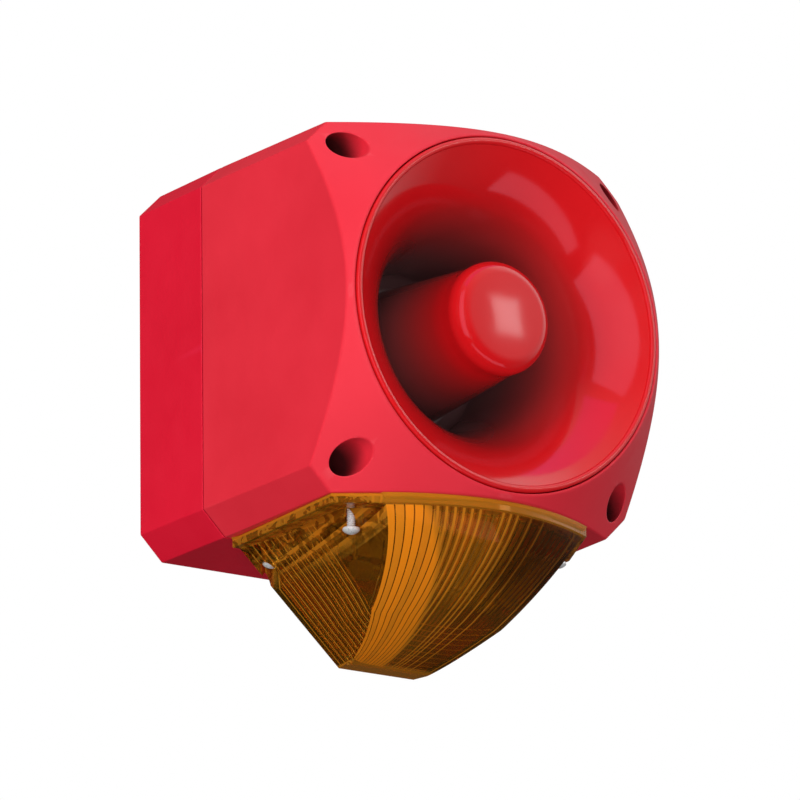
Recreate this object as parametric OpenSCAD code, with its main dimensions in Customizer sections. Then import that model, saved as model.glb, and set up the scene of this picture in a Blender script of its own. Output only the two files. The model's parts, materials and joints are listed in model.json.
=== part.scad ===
// Wall-mounted horn strobe: a square red sounder with a re-entrant horn in front and an amber
// flashing beacon hung below it. Millimetres. The wall is the plane Y = 0, the front faces -Y.

/* [Body] */
// Width and height of the square body at the wall
body_w = 132; // [130:0.5:134]
// Depth of the back box, from the wall to the parting line
box_d = 39.6; // [39:0.2:41]
// Leg of the 45 degree chamfer on each long corner
chamfer = 8.7; // [8:0.1:9.5]
// Wall thickness of the two red mouldings
wall = 3; // [2.6:0.1:3.2]
// Draft angle of the front housing's sides
draft = 0.95; // [0.8:0.05:1.1]
// Gap between the two mouldings at the parting line
parting_gap = 0.6; // [0.4:0.1:0.8]

/* [Front] */
// Depth from the wall to the rim of the horn
rim_d = 127.3; // [126:0.1:128]
// Radius of the round opening that the horn fits
mouth_r = 62; // [61.5:0.1:62.2]
// Distance of each cover screw from the middle, both ways
screw_off = 54.5; // [54:0.1:55]
// Radius of the deep holes over the cover screws
screw_well_r = 5.6; // [5.2:0.1:5.8]

/* [Horn] */
// Inner radius of the bell at the throat
throat_r = 29.5; // [28:0.5:31]
// Flare constant of the exponential bell, per mm
flare = 0.05; // [0.04:0.002:0.056]
// Radius of the bullet's front cap
cap_r = 19.8; // [18:0.1:21]
// Radius of the bullet at its rear end
bullet_r = 24; // [22:0.5:25]

/* [Beacon] */
// Height of the lens below the body
lens_h = 41.7; // [38:0.1:44]
// Wall thickness of the lens
lens_t = 2.4; // [2:0.1:3]
// Radius of the lens's screw wells
lens_well_r = 3.8; // [3.4:0.1:4]

/* [Fixings] */
// Spacing of the four wall-fixing holes, both ways
fix_pitch = 90; // [86:1:92]
// Radius of the wall-fixing holes
fix_r = 2.6; // [2.2:0.1:3]
// Radius of the cable entries
entry_r = 10.25; // [9:0.25:10.25]
// Radius of the cover screws' threads
m5_r = 2.5; // [2.4:0.05:2.5]

/* [Hidden] */
$fn = 96;
eps = 0.01;
half_w = body_w / 2;
// Body colours
red = [0.86, 0.09, 0.13];
gloss_red = [0.80, 0.06, 0.10];
amber = [0.93, 0.52, 0.10, 0.8];
steel = [0.75, 0.76, 0.78];
brass = [0.80, 0.65, 0.30];
pcb_green = [0.10, 0.38, 0.22];
black = [0.12, 0.12, 0.13];

// Front cone: a surface of revolution about the horn's axis
draft_run = tan(draft);
corner_d = 103.3;
corner_r = 85.9;
cone_slope = 1.03;
function cone_z(r) = corner_d + cone_slope * (corner_r - r);
// Half width of the drafted front housing at a depth
function front_half(z) = half_w - draft_run * (z - box_d);
four_corners = [[1, 1], [-1, 1], [-1, -1], [1, -1]];

// Everything is drawn with Z out of the wall and Y up, and stood up by this module
module stand() {
    rotate([90, 0, 0]) children();
}

module tube(r_out, r_in, h) {
    difference() {
        cylinder(r = r_out, h = h);
        translate([0, 0, -eps]) cylinder(r = r_in, h = h + 2 * eps);
    }
}

// A centred block standing on its base
module block(size) {
    translate([-size[0] / 2, -size[1] / 2, 0]) cube(size);
}

// A pan-head screw: head from z = 0 outwards, thread inwards, cross slot in the head
module pan_screw(r, head_r, head_h, length) {
    difference() {
        union() {
            translate([0, 0, -length]) cylinder(r = r, h = length);
            intersection() {
                cylinder(r = head_r, h = head_h);
                translate([0, 0, head_h - head_r * 1.6]) sphere(r = head_r * 1.6);
            }
        }
        translate([0, 0, head_h * 0.45]) {
            block([head_r * 1.1, head_r * 0.28, head_h]);
            block([head_r * 0.28, head_r * 1.1, head_h]);
        }
    }
}

// Outline of a square with chamfered corners, moved inwards by t
function octagon(t) =
    let (h = half_w - t, c = chamfer - (2 - sqrt(2)) * t)
    [[h, h - c], [h - c, h], [c - h, h], [-h, h - c],
     [-h, c - h], [c - h, -h], [h - c, -h], [h, c - h]];

module octagon_slab(t, z0, z1) {
    translate([0, 0, z0]) linear_extrude(z1 - z0) polygon(octagon(t));
}

module octagon_ring(t_out, t_in, z0, z1) {
    difference() {
        octagon_slab(t_out, z0, z1);
        octagon_slab(t_in, z0 - 1, z1 + 1);
    }
}

// ---- Back box ----
floor_t = 3.2;
m3_r = 1.5;
m3_bore = 1.52;
m3_clear = 1.7;
box_top = box_d - parting_gap / 2;
ledge_z = 33.5;
ledge_w = 2.4;
pillar_top = ledge_z - 0.4;
pillar_r = 5.6;
insert_r = 3.4;
insert_l = 11;
board_z = 9;
board_t = 1.6;
board_top = board_z + board_t;
base_board_holes = [[32, 14], [-32, 14], [-32, -39], [32, -39]];
rear_entry_y = 38;
top_entry_x = 24;
top_entry_z = 20;

module base_box() color(red) stand() {
    difference() {
        union() {
            difference() {
                octagon_slab(0, 0, box_top);
                octagon_slab(wall, floor_t, box_top + 1);
            }
            octagon_ring(wall - eps, wall + ledge_w, ledge_z - 2, ledge_z);
            for (c = four_corners) {
                translate([c[0] * screw_off, c[1] * screw_off, floor_t - eps])
                    cylinder(r = pillar_r, h = pillar_top - floor_t);
                translate([c[0] * fix_pitch / 2, c[1] * fix_pitch / 2, floor_t - eps])
                    cylinder(r = 6, h = 2);
            }
            for (p = base_board_holes)
                translate([p[0], p[1], floor_t - eps]) cylinder(r = 3, h = board_z - floor_t + eps);
        }
        for (c = four_corners) {
            translate([c[0] * screw_off, c[1] * screw_off, pillar_top - insert_l])
                cylinder(r = insert_r, h = insert_l + 1);
            translate([c[0] * screw_off, c[1] * screw_off, pillar_top - insert_l - 6])
                cylinder(r = m5_r + 0.4, h = 7);
            translate([c[0] * fix_pitch / 2, c[1] * fix_pitch / 2, -1])
                cylinder(r = fix_r, h = 12);
        }
        for (p = base_board_holes)
            translate([p[0], p[1], floor_t]) cylinder(r = m3_bore, h = board_z);
        translate([0, rear_entry_y, -1]) cylinder(r = entry_r, h = floor_t + 2);
        for (s = [-1, 1])
            translate([s * top_entry_x, half_w + 1, top_entry_z])
                rotate([90, 0, 0]) cylinder(r = entry_r, h = wall + 2);
    }
}

module cover_inserts() color(brass) stand() {
    for (c = four_corners)
        translate([c[0] * screw_off, c[1] * screw_off, pillar_top - insert_l])
            difference() {
                tube(insert_r, m5_r + 0.05, insert_l);
                translate([0, 0, insert_l / 2 - 0.5]) tube(insert_r + 1, insert_r - 0.35, 1);
            }
}

module housing_seal() color(black) stand() {
    octagon_ring(wall + 0.3, wall + 2, ledge_z, ledge_z + 1.5);
}

// ---- Terminal board and what stands on it ----
module base_board() color(pcb_green) stand() {
    difference() {
        translate([-36, -43, board_z]) cube([72, 61, board_t]);
        for (p = base_board_holes)
            translate([p[0], p[1], board_z - 1]) cylinder(r = m3_clear, h = 4);
    }
}

module base_board_screws() color(steel) stand() {
    for (p = base_board_holes)
        translate([p[0], p[1], board_top]) pan_screw(m3_r, 2.7, 1.8, 7);
}

ways = 8;
way_pitch = 7;
term_y = 5;
term_l = 11;
term_h = 14;
function way_x(i) = (i - (ways - 1) / 2) * way_pitch;

module terminal_block() color([0.16, 0.45, 0.30]) stand() {
    difference() {
        translate([-ways * way_pitch / 2, term_y, board_top])
            cube([ways * way_pitch, term_l, term_h]);
        for (i = [0 : ways - 1]) {
            translate([way_x(i) - 2.6, term_y + 2, board_top + 2.5])
                cube([5.2, term_l, 6.4]);
            translate([way_x(i), term_y + 5.6, board_top + 8]) cylinder(r = 2.1, h = term_h);
        }
        translate([-ways * way_pitch, term_y + term_l - 2, board_top + term_h - 3])
            rotate([45, 0, 0]) cube([2 * ways * way_pitch, 8, 8]);
    }
}

module terminal_clamps() color(brass) stand() {
    for (i = [0 : ways - 1])
        difference() {
            translate([way_x(i) - 2.4, term_y + 2.3, board_top + 2.7]) cube([4.8, 7, 5.8]);
            translate([way_x(i) - 1.6, term_y + 1, board_top + 3.6]) cube([3.2, 11, 3.4]);
        }
}

module terminal_screws() color(steel) stand() {
    for (i = [0 : ways - 1])
        translate([way_x(i), term_y + 5.6, board_top + 8.6])
            difference() {
                cylinder(r = 1.9, h = 2.6);
                translate([0, 0, 1.6]) block([5, 0.7, 2]);
            }
}

link_y = -37;
socket_top = 26;
module link_socket() color(black) stand() {
    difference() {
        translate([0, link_y, board_top]) block([24, 9, socket_top - board_top]);
        translate([0, link_y, 13]) block([20.8, 5.8, 20]);
    }
}

levers = 6;
lever_pitch = 2.54;
dip_x = -22;
dip_y = -17;
dip_h = 5;
lever_travel = 1.6;
function lever_x(i) = dip_x + (i - (levers + 1) / 2) * lever_pitch;

module tone_switch() color([0.15, 0.25, 0.60]) stand() {
    difference() {
        translate([dip_x, dip_y, board_top]) block([18, 8, dip_h]);
        for (i = [1 : levers])
            translate([lever_x(i), dip_y, board_top + 2.4]) block([1.8, 4.2, 4]);
    }
}

// One lever: a foot in its slot and a tip above the body, resting at the lower end
module tone_lever(i) color("white") stand() {
    translate([lever_x(i), dip_y - lever_travel / 2, board_top + 2.8]) {
        block([1.1, 1.9, 2.2]);
        block([1.1, 1.3, 3.4]);
    }
}

module tone_lever_1() tone_lever(1);
module tone_lever_2() tone_lever(2);
module tone_lever_3() tone_lever(3);
module tone_lever_4() tone_lever(4);
module tone_lever_5() tone_lever(5);
module tone_lever_6() tone_lever(6);

trim_x = 24;
trim_y = -17;
rotor_r = 3.2;
module volume_trimmer() color([0.10, 0.30, 0.65]) stand() {
    translate([trim_x, trim_y, board_top])
        difference() {
            block([10, 10, 5]);
            translate([0, 0, 2]) cylinder(r = rotor_r + 0.05, h = 4);
        }
}

module volume_rotor() color("white") stand() {
    translate([trim_x, trim_y, board_top + 2.3])
        difference() {
            cylinder(r = rotor_r, h = 3.4);
            translate([0, 0, 2.2]) block([5, 0.9, 2]);
            translate([0, rotor_r * 0.4, 2.2]) block([0.9, rotor_r * 0.8, 2]);
        }
}

// ---- Closed cable entries in the top ----
plug_shank = 9.9;
module entry_plugs() color(black) stand() {
    for (s = [-1, 1])
        translate([s * top_entry_x, half_w + 1, top_entry_z]) rotate([-90, 0, 0])
            difference() {
                union() {
                    translate([0, 0, -11]) cylinder(r = plug_shank, h = 11);
                    cylinder(r = 12.4, h = 3.2);
                }
                translate([0, 0, -12]) cylinder(r = plug_shank - 2, h = 11.5);
                translate([0, 0, 1.8]) block([14, 2, 3]);
            }
}

module plug_orings() color([0.2, 0.2, 0.2]) stand() {
    for (s = [-1, 1])
        translate([s * top_entry_x, half_w, top_entry_z]) rotate([-90, 0, 0])
            tube(11.9, plug_shank + 0.05, 1);
}

// ---- Front housing ----
front_back = box_d + parting_gap / 2;
collar_z = 112;
ledge_t = 2.6;
seat_z = 60;
retainer_z = 50;
retainer_r = 4.1;
retainer_t = 1.4;
inner_t = wall - 0.2;
collar_t = 2.6;
ledge_in = 5;
rib_t = 2.4;
board_boss = [43, 40];
main_board_z = 44;
main_board_top = main_board_z + board_t;
lens_screw_x = 42.5;
lens_screw_z = [45.5, 94];
beacon_x = 34;
beacon_z0 = 54;
beacon_z1 = 86;
beacon_mid = (beacon_z0 + beacon_z1) / 2;
beacon_screw_x = 37.2;

// The space inside eight drafted planes and under the front cone, all moved inwards by t
module front_solid(t) {
    intersection() {
        drafted_planes(t, 400);
        rotate_extrude()
            polygon([[0, front_back - 10], [110, front_back - 10],
                [110, cone_z(110) - t * 1.43], [63.3, cone_z(63.3) - t * 1.43],
                [mouth_r + 0.6, rim_d - 0.25 - t], [mouth_r, rim_d - t], [0, rim_d - t]]);
    }
}

// Eight half spaces: flats on the even turns, chamfers on the odd ones
module drafted_planes(t, big) {
    intersection_for(i = [0 : 7]) {
        d = i % 2 == 0 ? half_w : (body_w - chamfer) / sqrt(2);
        rotate([0, 0, 45 * i]) translate([d - t, 0, box_d]) rotate([0, -draft, 0])
            translate([-big, -big / 2, -big / 2]) cube(big);
    }
}

module front_housing() color(red) stand() {
    difference() {
        union() {
            difference() {
                intersection() {
                    front_solid(0);
                    translate([0, 0, front_back]) block([300, 300, 200]);
                }
                front_solid(inner_t);
                translate([0, 0, 100]) cylinder(r = mouth_r, h = 60);
            }
            // Collar round the horn's lip, with the ledge that the horn rests on
            intersection() {
                front_solid(0);
                union() {
                    translate([0, 0, collar_z]) tube(mouth_r + collar_t, mouth_r, rim_d);
                    translate([0, 0, collar_z]) tube(mouth_r + 2, mouth_r - ledge_in, ledge_t);
                }
            }
            // Tongue that presses on the seal, and the shoulder that carries it
            octagon_ring(wall + 0.4, wall + 2.2, ledge_z + 1.9, front_back + 4);
            octagon_ring(wall - 0.5, wall + 1, front_back, front_back + 4);
            // Wells of the cover screws
            intersection() {
                front_solid(0);
                for (c = four_corners)
                    translate([c[0] * screw_off, c[1] * screw_off, front_back + 3])
                        cylinder(r = screw_well_r + rib_t, h = 90);
            }
            for (c = four_corners) {
                translate([c[0] * screw_off, c[1] * screw_off, pillar_top + 0.4])
                    cylinder(r = 4.6, h = front_back + 4 - pillar_top);
                // Bosses for the main board, on ribs from the side walls
                translate([c[0] * board_boss[0], c[1] * board_boss[1], main_board_top])
                    cylinder(r = 3.6, h = 16);
                translate([c[0] * (board_boss[0] + 10), c[1] * board_boss[1], main_board_top + 2])
                    block([20.5, rib_t, 14]);
            }
            // Bosses for the lens screws and the beacon board
            for (s = [-1, 1]) {
                for (z = lens_screw_z)
                    translate([s * lens_screw_x, -half_w + 2, z])
                        rotate([-90, 0, 0]) cylinder(r = z < 60 ? 4.6 : 5, h = 11);
                translate([s * beacon_screw_x, -half_w + 2, beacon_mid])
                    rotate([-90, 0, 0]) cylinder(r = 2.8, h = 4);
            }
        }
        for (c = four_corners)
            translate([c[0] * screw_off, c[1] * screw_off, 0]) {
                translate([0, 0, seat_z]) cylinder(r = screw_well_r, h = 100);
                cylinder(r = m5_r + 0.3, h = 100);
                // Recess for the ring that keeps the screw captive
                translate([0, 0, retainer_z]) cylinder(r = retainer_r + 0.1, h = retainer_t + 0.2);
            }
        for (c = four_corners)
            translate([c[0] * board_boss[0], c[1] * board_boss[1], 40])
                cylinder(r = m3_bore, h = 16);
        hang()
            for (p = lens_screws_at)
                translate([p[0], -1, p[1]]) rotate([-90, 0, 0]) cylinder(r = m3_bore, h = 11);
        for (s = [-1, 1])
            translate([s * beacon_screw_x, -half_w + 3.4, beacon_mid])
                rotate([-90, 0, 0]) cylinder(r = 1.02, h = 6);
        // Window between the housing and the lens
        translate([-beacon_x, -half_w - 1, beacon_z0])
            cube([2 * beacon_x, 8, beacon_z1 - beacon_z0]);
        // Holes for the screws that hold the horn
        for (c = four_corners)
            translate([c[0], c[1], 0] * (bell_screw_r / sqrt(2)))
                translate([0, 0, collar_z - 1]) cylinder(r = m3_clear, h = ledge_t + 2);
    }
}

// ---- Horn ----
bell_t = 2.4;
throat_z = 68;
floor_z = 60.5;
back_z = 58;
lip_r = mouth_r - 0.3;
lip_z = collar_z + ledge_t;
lip_h = 7;
bead_r = 1.2;
bead_z = rim_d - 0.5;
bell_mouth_r = lip_r - 2 * bead_r;
bell_screw_r = 59.4;
post_r = 20.6;
flare_n = 12;
turn_r = 5.5;
flare_k = (bell_mouth_r - throat_r) / (exp(flare * (bead_z - throat_z)) - 1);
function bell_r(z) = throat_r + flare_k * (exp(flare * (z - throat_z)) - 1);
function bell_slope(z) = flare_k * flare * exp(flare * (z - throat_z));
// The bell's inner curve from the mouth to the throat, moved out by t along its normal
function bell_curve(t, z0, z1) =
    [for (i = [0 : flare_n])
        let (z = z1 + (z0 - z1) * i / flare_n, m = bell_slope(z), k = sqrt(1 + m * m))
        [bell_r(z) + t / k, z - t * m / k]];
function turn_curve(r, n) =
    [for (i = [0 : n]) let (a = -90 * i / n)
        [throat_r - turn_r + r * cos(a), floor_z + turn_r + r * sin(a)]];
function reversed(list) = [for (i = [len(list) - 1 : -1 : 0]) list[i]];
function bead_curve(n) =
    [for (i = [0 : n]) let (a = 180 * i / n)
        [lip_r - bead_r + bead_r * cos(a), bead_z + bead_r * 0.9 * sin(a)]];

module horn_bell() color(gloss_red) stand() {
    difference() {
        rotate_extrude() polygon(concat(
            [[mouth_r - 4.8, lip_z + 4], [mouth_r - 4.8, lip_z], [lip_r, lip_z]],
            bead_curve(6),
            bell_curve(0, throat_z, bead_z - 1),
            turn_curve(turn_r, 5),
            [[9.2, floor_z], [9.2, back_z], [throat_r + bell_t, back_z]],
            reversed(bell_curve(bell_t, throat_z, bead_z - 1)),
            [[lip_r - bell_t, lip_z + lip_h], [lip_r - bell_t, lip_z + lip_h - 3]]));
        // Groove for the seal round the lip
        translate([0, 0, lip_z + 5.2]) tube(lip_r + 1, lip_r - 1.2, 1.6);
        for (c = four_corners)
            translate([c[0], c[1], 0] * (bell_screw_r / sqrt(2)))
                translate([0, 0, lip_z - 1]) cylinder(r = m3_bore, h = 4.2);
        for (i = [0 : 2]) {
            rotate([0, 0, 90 + 120 * i]) translate([post_r, 0, 0]) {
                translate([0, 0, back_z - 1]) cylinder(r = m3_clear, h = 5);
                translate([0, 0, back_z - eps]) cylinder(r1 = 3.1, r2 = 1.7, h = 1.8);
            }
            rotate([0, 0, 30 + 120 * i]) translate([driver_screw_r, 0, back_z - 1])
                cylinder(r = m3_bore, h = 5.2);
        }
    }
}

module bell_seal() color(black) stand() {
    translate([0, 0, lip_z + 6]) rotate_extrude()
        translate([lip_r - 0.47, 0]) circle(r = 0.72, $fn = 32);
}

module bell_screws() color(steel) stand() {
    for (c = four_corners)
        translate([c[0], c[1], 0] * (bell_screw_r / sqrt(2)))
            translate([0, 0, collar_z]) rotate([180, 0, 0]) pan_screw(m3_r, 2.6, 1.8, 5.6);
}

bullet_back = 67;
bullet_front = 127;
cap_edge = 6;
bullet_t = 2;
post_l = 9;
// Outside of the bullet from its front centre to its rear edge, moved inwards by t
function bullet_side(t) = concat(
    [[0, bullet_front - t]],
    [for (i = [0 : 8]) let (a = 90 - 90 * i / 8)
        [cap_r - cap_edge + (cap_edge - t) * cos(a),
         bullet_front - cap_edge + (cap_edge - t) * sin(a)]],
    [[cap_r - 0.3 - t, 115], [bullet_r - t, bullet_back]]);

module horn_bullet() color(gloss_red) stand() {
    difference() {
        union() {
            rotate_extrude() polygon(concat(bullet_side(0), [[0, bullet_back]]));
            for (i = [0 : 2]) rotate([0, 0, 90 + 120 * i])
                translate([post_r, 0, floor_z]) cylinder(r = 3.2, h = post_l);
        }
        difference() {
            translate([0, 0, -eps])
                rotate_extrude() polygon(concat(bullet_side(bullet_t), [[0, bullet_back]]));
            for (i = [0 : 2]) rotate([0, 0, 90 + 120 * i])
                translate([post_r, 0, floor_z]) cylinder(r = 3.2, h = post_l);
        }
        for (i = [0 : 2]) rotate([0, 0, 90 + 120 * i])
            translate([post_r, 0, floor_z - 1]) cylinder(r = m3_bore, h = post_l);
    }
}

module bullet_screws() color(steel) stand() {
    for (i = [0 : 2]) rotate([0, 0, 90 + 120 * i]) translate([post_r, 0, back_z])
        difference() {
            union() {
                cylinder(r = m3_r, h = 9.4);
                cylinder(r1 = 2.95, r2 = m3_r, h = 1.65);
            }
            translate([0, 0, -1]) {
                block([2.6, 0.7, 1.8]);
                block([0.7, 2.6, 1.8]);
            }
        }
}

// ---- Compression driver ----
gasket_t = 0.6;
flange_top = back_z - gasket_t;
flange_t = 2.8;
flange_bot = flange_top - flange_t;
flange_r = 31.4;
driver_screw_r = 28.6;
driver_r = 25.5;
surround_z = 47.5;
surround_t = 0.5;
plate_t = 4;
magnet_t = 8;
tube_in = 6.6;
tube_out = 8.6;
tube_end = 108;
dome_r = 17.1;
former_r = 12.6;
pole_r = 12.1;
gap_r = 13.8;

// The driver's front flange with its skirt and the tube that feeds the bullet
module tone_tube() color(black) stand() {
    difference() {
        union() {
            translate([0, 0, flange_bot]) cylinder(r = flange_r, h = flange_t);
            translate([0, 0, flange_bot]) cylinder(r = tube_out, h = tube_end - flange_bot);
            translate([0, 0, surround_z + surround_t])
                tube(driver_r, 20.2, flange_bot - surround_z - surround_t + eps);
        }
        translate([0, 0, flange_bot - 1]) cylinder(r = tube_in, h = 70);
        for (i = [0 : 2]) rotate([0, 0, 30 + 120 * i])
            translate([driver_screw_r, 0, flange_bot - 1]) cylinder(r = m3_clear, h = 6);
    }
}

module throat_gasket() color([0.2, 0.2, 0.2]) stand() {
    difference() {
        translate([0, 0, flange_top]) tube(flange_r, 9.4, gasket_t);
        for (i = [0 : 2]) rotate([0, 0, 30 + 120 * i])
            translate([driver_screw_r, 0, flange_top - 1]) cylinder(r = m3_clear, h = 4);
    }
}

module driver_screws() color(steel) stand() {
    for (i = [0 : 2]) rotate([0, 0, 30 + 120 * i])
        translate([driver_screw_r, 0, flange_bot]) rotate([180, 0, 0])
            pan_screw(m3_r, 2.6, 1.8, 7);
}

// Flexible roll between the dome and the clamped rim
module surround() color([0.55, 0.40, 0.20]) stand() {
    translate([0, 0, surround_z]) rotate_extrude() difference() {
        union() {
            translate([19.4, 0]) square([driver_r - 19.4, surround_t]);
            translate([18.6, 0]) circle(r = 1.1, $fn = 32);
        }
        translate([18.6, 0]) circle(r = 0.75, $fn = 32);
        translate([0, -3]) square([40, 3]);
    }
}

module top_plate() color(steel) stand() {
    translate([0, 0, surround_z - plate_t]) tube(driver_r, gap_r, plate_t);
}

module magnet() color([0.22, 0.22, 0.24]) stand() {
    translate([0, 0, surround_z - plate_t - magnet_t]) tube(driver_r, 16, magnet_t);
}

module pole_piece() color(steel) stand() {
    z = surround_z - 2 * plate_t - magnet_t;
    translate([0, 0, z]) cylinder(r = driver_r, h = plate_t);
    translate([0, 0, z]) cylinder(r = pole_r, h = 2 * plate_t + magnet_t);
}

coil_top = 49.2;
dome_rise = 3.6;
module diaphragm() color([0.80, 0.72, 0.45]) stand() {
    ball = (former_r * former_r + dome_rise * dome_rise) / (2 * dome_rise);
    translate([0, 0, coil_top]) {
        intersection() {
            translate([0, 0, dome_rise - ball]) difference() {
                sphere(r = ball);
                sphere(r = ball - 0.4);
            }
            cylinder(r = former_r + 0.3, h = 10);
        }
        tube(dome_r, former_r - 0.2, 0.4);
    }
}

module voice_coil() color([0.72, 0.42, 0.20]) stand() {
    translate([0, 0, 40]) tube(former_r + 0.3, former_r, coil_top - 40);
    translate([0, 0, 42]) tube(former_r + 0.7, former_r + 0.3 - eps, 5);
}

// ---- Main board ----
module main_board() color(pcb_green) stand() {
    difference() {
        translate([0, 0, main_board_z]) block([94, 96, board_t]);
        translate([0, 0, main_board_z - 1]) cylinder(r = 28, h = 4);
        for (c = four_corners)
            translate([c[0] * board_boss[0], c[1] * board_boss[1], main_board_z - 1])
                cylinder(r = m3_clear, h = 4);
    }
}

module main_board_screws() color(steel) stand() {
    for (c = four_corners)
        translate([c[0] * board_boss[0], c[1] * board_boss[1], main_board_z])
            rotate([180, 0, 0]) pan_screw(m3_r, 2.7, 1.8, 9);
}

module link_plug() color([0.85, 0.83, 0.75]) stand() {
    translate([0, link_y, 20]) block([20, 5, main_board_z - 20]);
}

module flash_capacitor() color([0.12, 0.16, 0.35]) stand() {
    translate([-16, 40.5, main_board_top + 8]) rotate([0, 90, 0])
        difference() {
            cylinder(r = 8, h = 32);
            translate([0, 0, 27]) tube(9, 7.4, 1.6);
        }
}

module transformer_core() color([0.25, 0.25, 0.27]) stand() {
    translate([-39, -14, main_board_top])
        difference() {
            block([13, 22, 17]);
            for (s = [-1, 1])
                translate([0, s * 6, 3]) block([14, 5, 11]);
        }
}

module transformer_winding() color([0.80, 0.62, 0.20]) stand() {
    translate([-39, -14, main_board_top + 3.3])
        difference() {
            block([13.6, 16, 10.4]);
            translate([0, 0, -1]) block([20, 7.2, 20]);
        }
}

module choke() color([0.15, 0.15, 0.16]) stand() {
    translate([39, 14, main_board_top]) {
        cylinder(r = 6.5, h = 2);
        cylinder(r = 4.5, h = 12);
        translate([0, 0, 11]) cylinder(r = 6.5, h = 2);
    }
}

chips = [[39, -6, 10, 10, 1.4], [39, -22, 8, 5, 1.6], [-39, 12, 9, 4.5, 12],
    [-38, 26, 6, 4, 1.6], [20, -38, 10, 6, 2.2], [-22, -38, 7, 6, 1.6]];
module board_chips() color(black) stand() {
    for (c = chips)
        translate([c[0], c[1], main_board_top]) block([c[2], c[3], c[4]]);
}

caps = [[38, 29, 4], [30, -42, 3.2], [-34, -40, 4], [40, -32, 3.2]];
module board_capacitors() color([0.2, 0.25, 0.4]) stand() {
    for (c = caps)
        translate([c[0], c[1], main_board_top]) cylinder(r = c[2], h = 3 * c[2]);
}

// ---- Beacon ----
lens_back = 40.4;
lens_rim = 3.4;
lens_pow = 1.5;
lens_top_x = 55.2;
lens_bot_x = 15.4;
ridge_x = 41.8;
ridge_d = 112.4;
lens_bot_d = 51.6;
lens_mid_d = 124;
lens_levels = 12;
bow_n = 8;
// Share of the depth that is left at a share s of the drop
function drop_share(s) = pow(max(0, 1 - pow(s, lens_pow)), 1 / lens_pow);
function lens_side_x(s) = lens_top_x - (lens_top_x - lens_bot_x) * s;
function lens_ridge_x(s) = min(ridge_x - 20 * s, lens_side_x(s) + 1.4);
function lens_ridge_d(s) = lens_bot_d + (ridge_d - lens_bot_d) * drop_share(s);
function lens_front_d(s) = lens_bot_d + (lens_mid_d - lens_bot_d) * drop_share(s);
// One level of the lens as [x, depth] points, moved inwards by t: a flat side from the back
// edge to the ridge, then a bowed front
function lens_level(s, t) =
    let (xs = lens_side_x(s) - 1.34 * t, xr = lens_ridge_x(s) - 1.2 * t,
        db = lens_back + 5 * s + t,
        dr = max(lens_ridge_d(s) - 1.6 * t, db + 0.6),
        dm = max(lens_front_d(s) - 1.7 * t, dr + 0.01))
    concat([[xs, db]],
        [for (i = [0 : bow_n]) let (u = 1 - 2 * i / bow_n) [xr * u, dm + (dr - dm) * u * u]],
        [[-xs, db]]);
lens_n = bow_n + 3;
// Levels close up towards the bottom edge, where the front turns in
function level_s(k) = pow(sin(90 * k / lens_levels), 2 / lens_pow);

// A closed solid of the lens's outside moved inwards by t, from its top plane down
module lens_solid(t) {
    h = lens_h - t;
    points = [for (k = [0 : lens_levels], p = lens_level(level_s(k), t))
        [p[0], k == 0 && t > 0 ? 1 : -level_s(k) * h, p[1]]];
    top = [for (i = [0 : lens_n - 1]) i];
    bottom = [for (i = [lens_n - 1 : -1 : 0]) lens_levels * lens_n + i];
    sides = [for (k = [0 : lens_levels - 1], i = [0 : lens_n - 1])
        let (j = (i + 1) % lens_n)
        [k * lens_n + i, (k + 1) * lens_n + i, (k + 1) * lens_n + j, k * lens_n + j]];
    polyhedron(points = points, faces = concat([top], [bottom], sides), convexity = 6);
}

// Outline of the flange on the housing's bottom face. It reaches the chamfer's end at the left
// and is cut back at the right front corner, where the bottom face shows beyond it.
vertex_x = 56.4;
vertex_d = 102.9;
cut_x = 42.4;
cut_d = 84;
function bow_d(x, t) = 188.6 - 1.15 * t - sqrt(x * x + 64.9 * 64.9);
function flange_outline(t) =
    let (xb = 54.6 - t, back = lens_back + t, x1 = cut_x - t, x0 = 3 + t - vertex_x)
    concat([[xb, back], [xb + 0.3, cut_d - 0.4 * t]],
        [for (i = [0 : 2 * bow_n]) let (x = x1 + (x0 - x1) * i / (2 * bow_n)) [x, bow_d(x, t)]],
        [[t - vertex_x, vertex_d - 0.6 * t], [-xb, back]]);

module flange_slab(t, y0, y1) {
    translate([0, y1, 0]) rotate([90, 0, 0]) linear_extrude(y1 - y0)
        polygon([for (p = flange_outline(t)) [p[0], p[1]]]);
}

// The beacon hangs from the housing's bottom face, which slopes by the draft angle
module hang() {
    translate([0, -half_w, box_d]) rotate([-draft, 0, 0]) translate([0, 0, -box_d]) children();
}

lens_screws_at = [for (s = [-1, 1], z = lens_screw_z) [s * lens_screw_x, z]];
well_h = 8;
flange_in = 6.5;
seal_out = 0.9;
seal_in = 2.6;
seal_h = 1.2;

module lens() color(amber) stand() hang() {
    difference() {
        union() {
            difference() {
                lens_solid(0);
                lens_solid(lens_t);
            }
            difference() {
                flange_slab(0, -lens_rim, 0);
                flange_slab(flange_in, -lens_rim - 1, 1);
            }
            intersection() {
                lens_solid(0);
                for (p = lens_screws_at)
                    translate([p[0], 0, p[1]]) rotate([90, 0, 0])
                        cylinder(r = lens_well_r + 1.6, h = lens_h);
            }
        }
        for (p = lens_screws_at) {
            translate([p[0], 1, p[1]]) rotate([90, 0, 0]) cylinder(r = m3_clear, h = lens_h);
            translate([p[0], -well_h, p[1]]) rotate([90, 0, 0])
                cylinder(r = lens_well_r, h = lens_h);
        }
        difference() {
            flange_slab(seal_out, -seal_h, 1);
            flange_slab(seal_in, -seal_h - 1, 2);
        }
    }
}

module lens_seal() color(black) stand() hang() {
    difference() {
        flange_slab(seal_out + 0.1, -seal_h, 0);
        flange_slab(seal_in - 0.1, -seal_h - 1, 1);
    }
}

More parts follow.
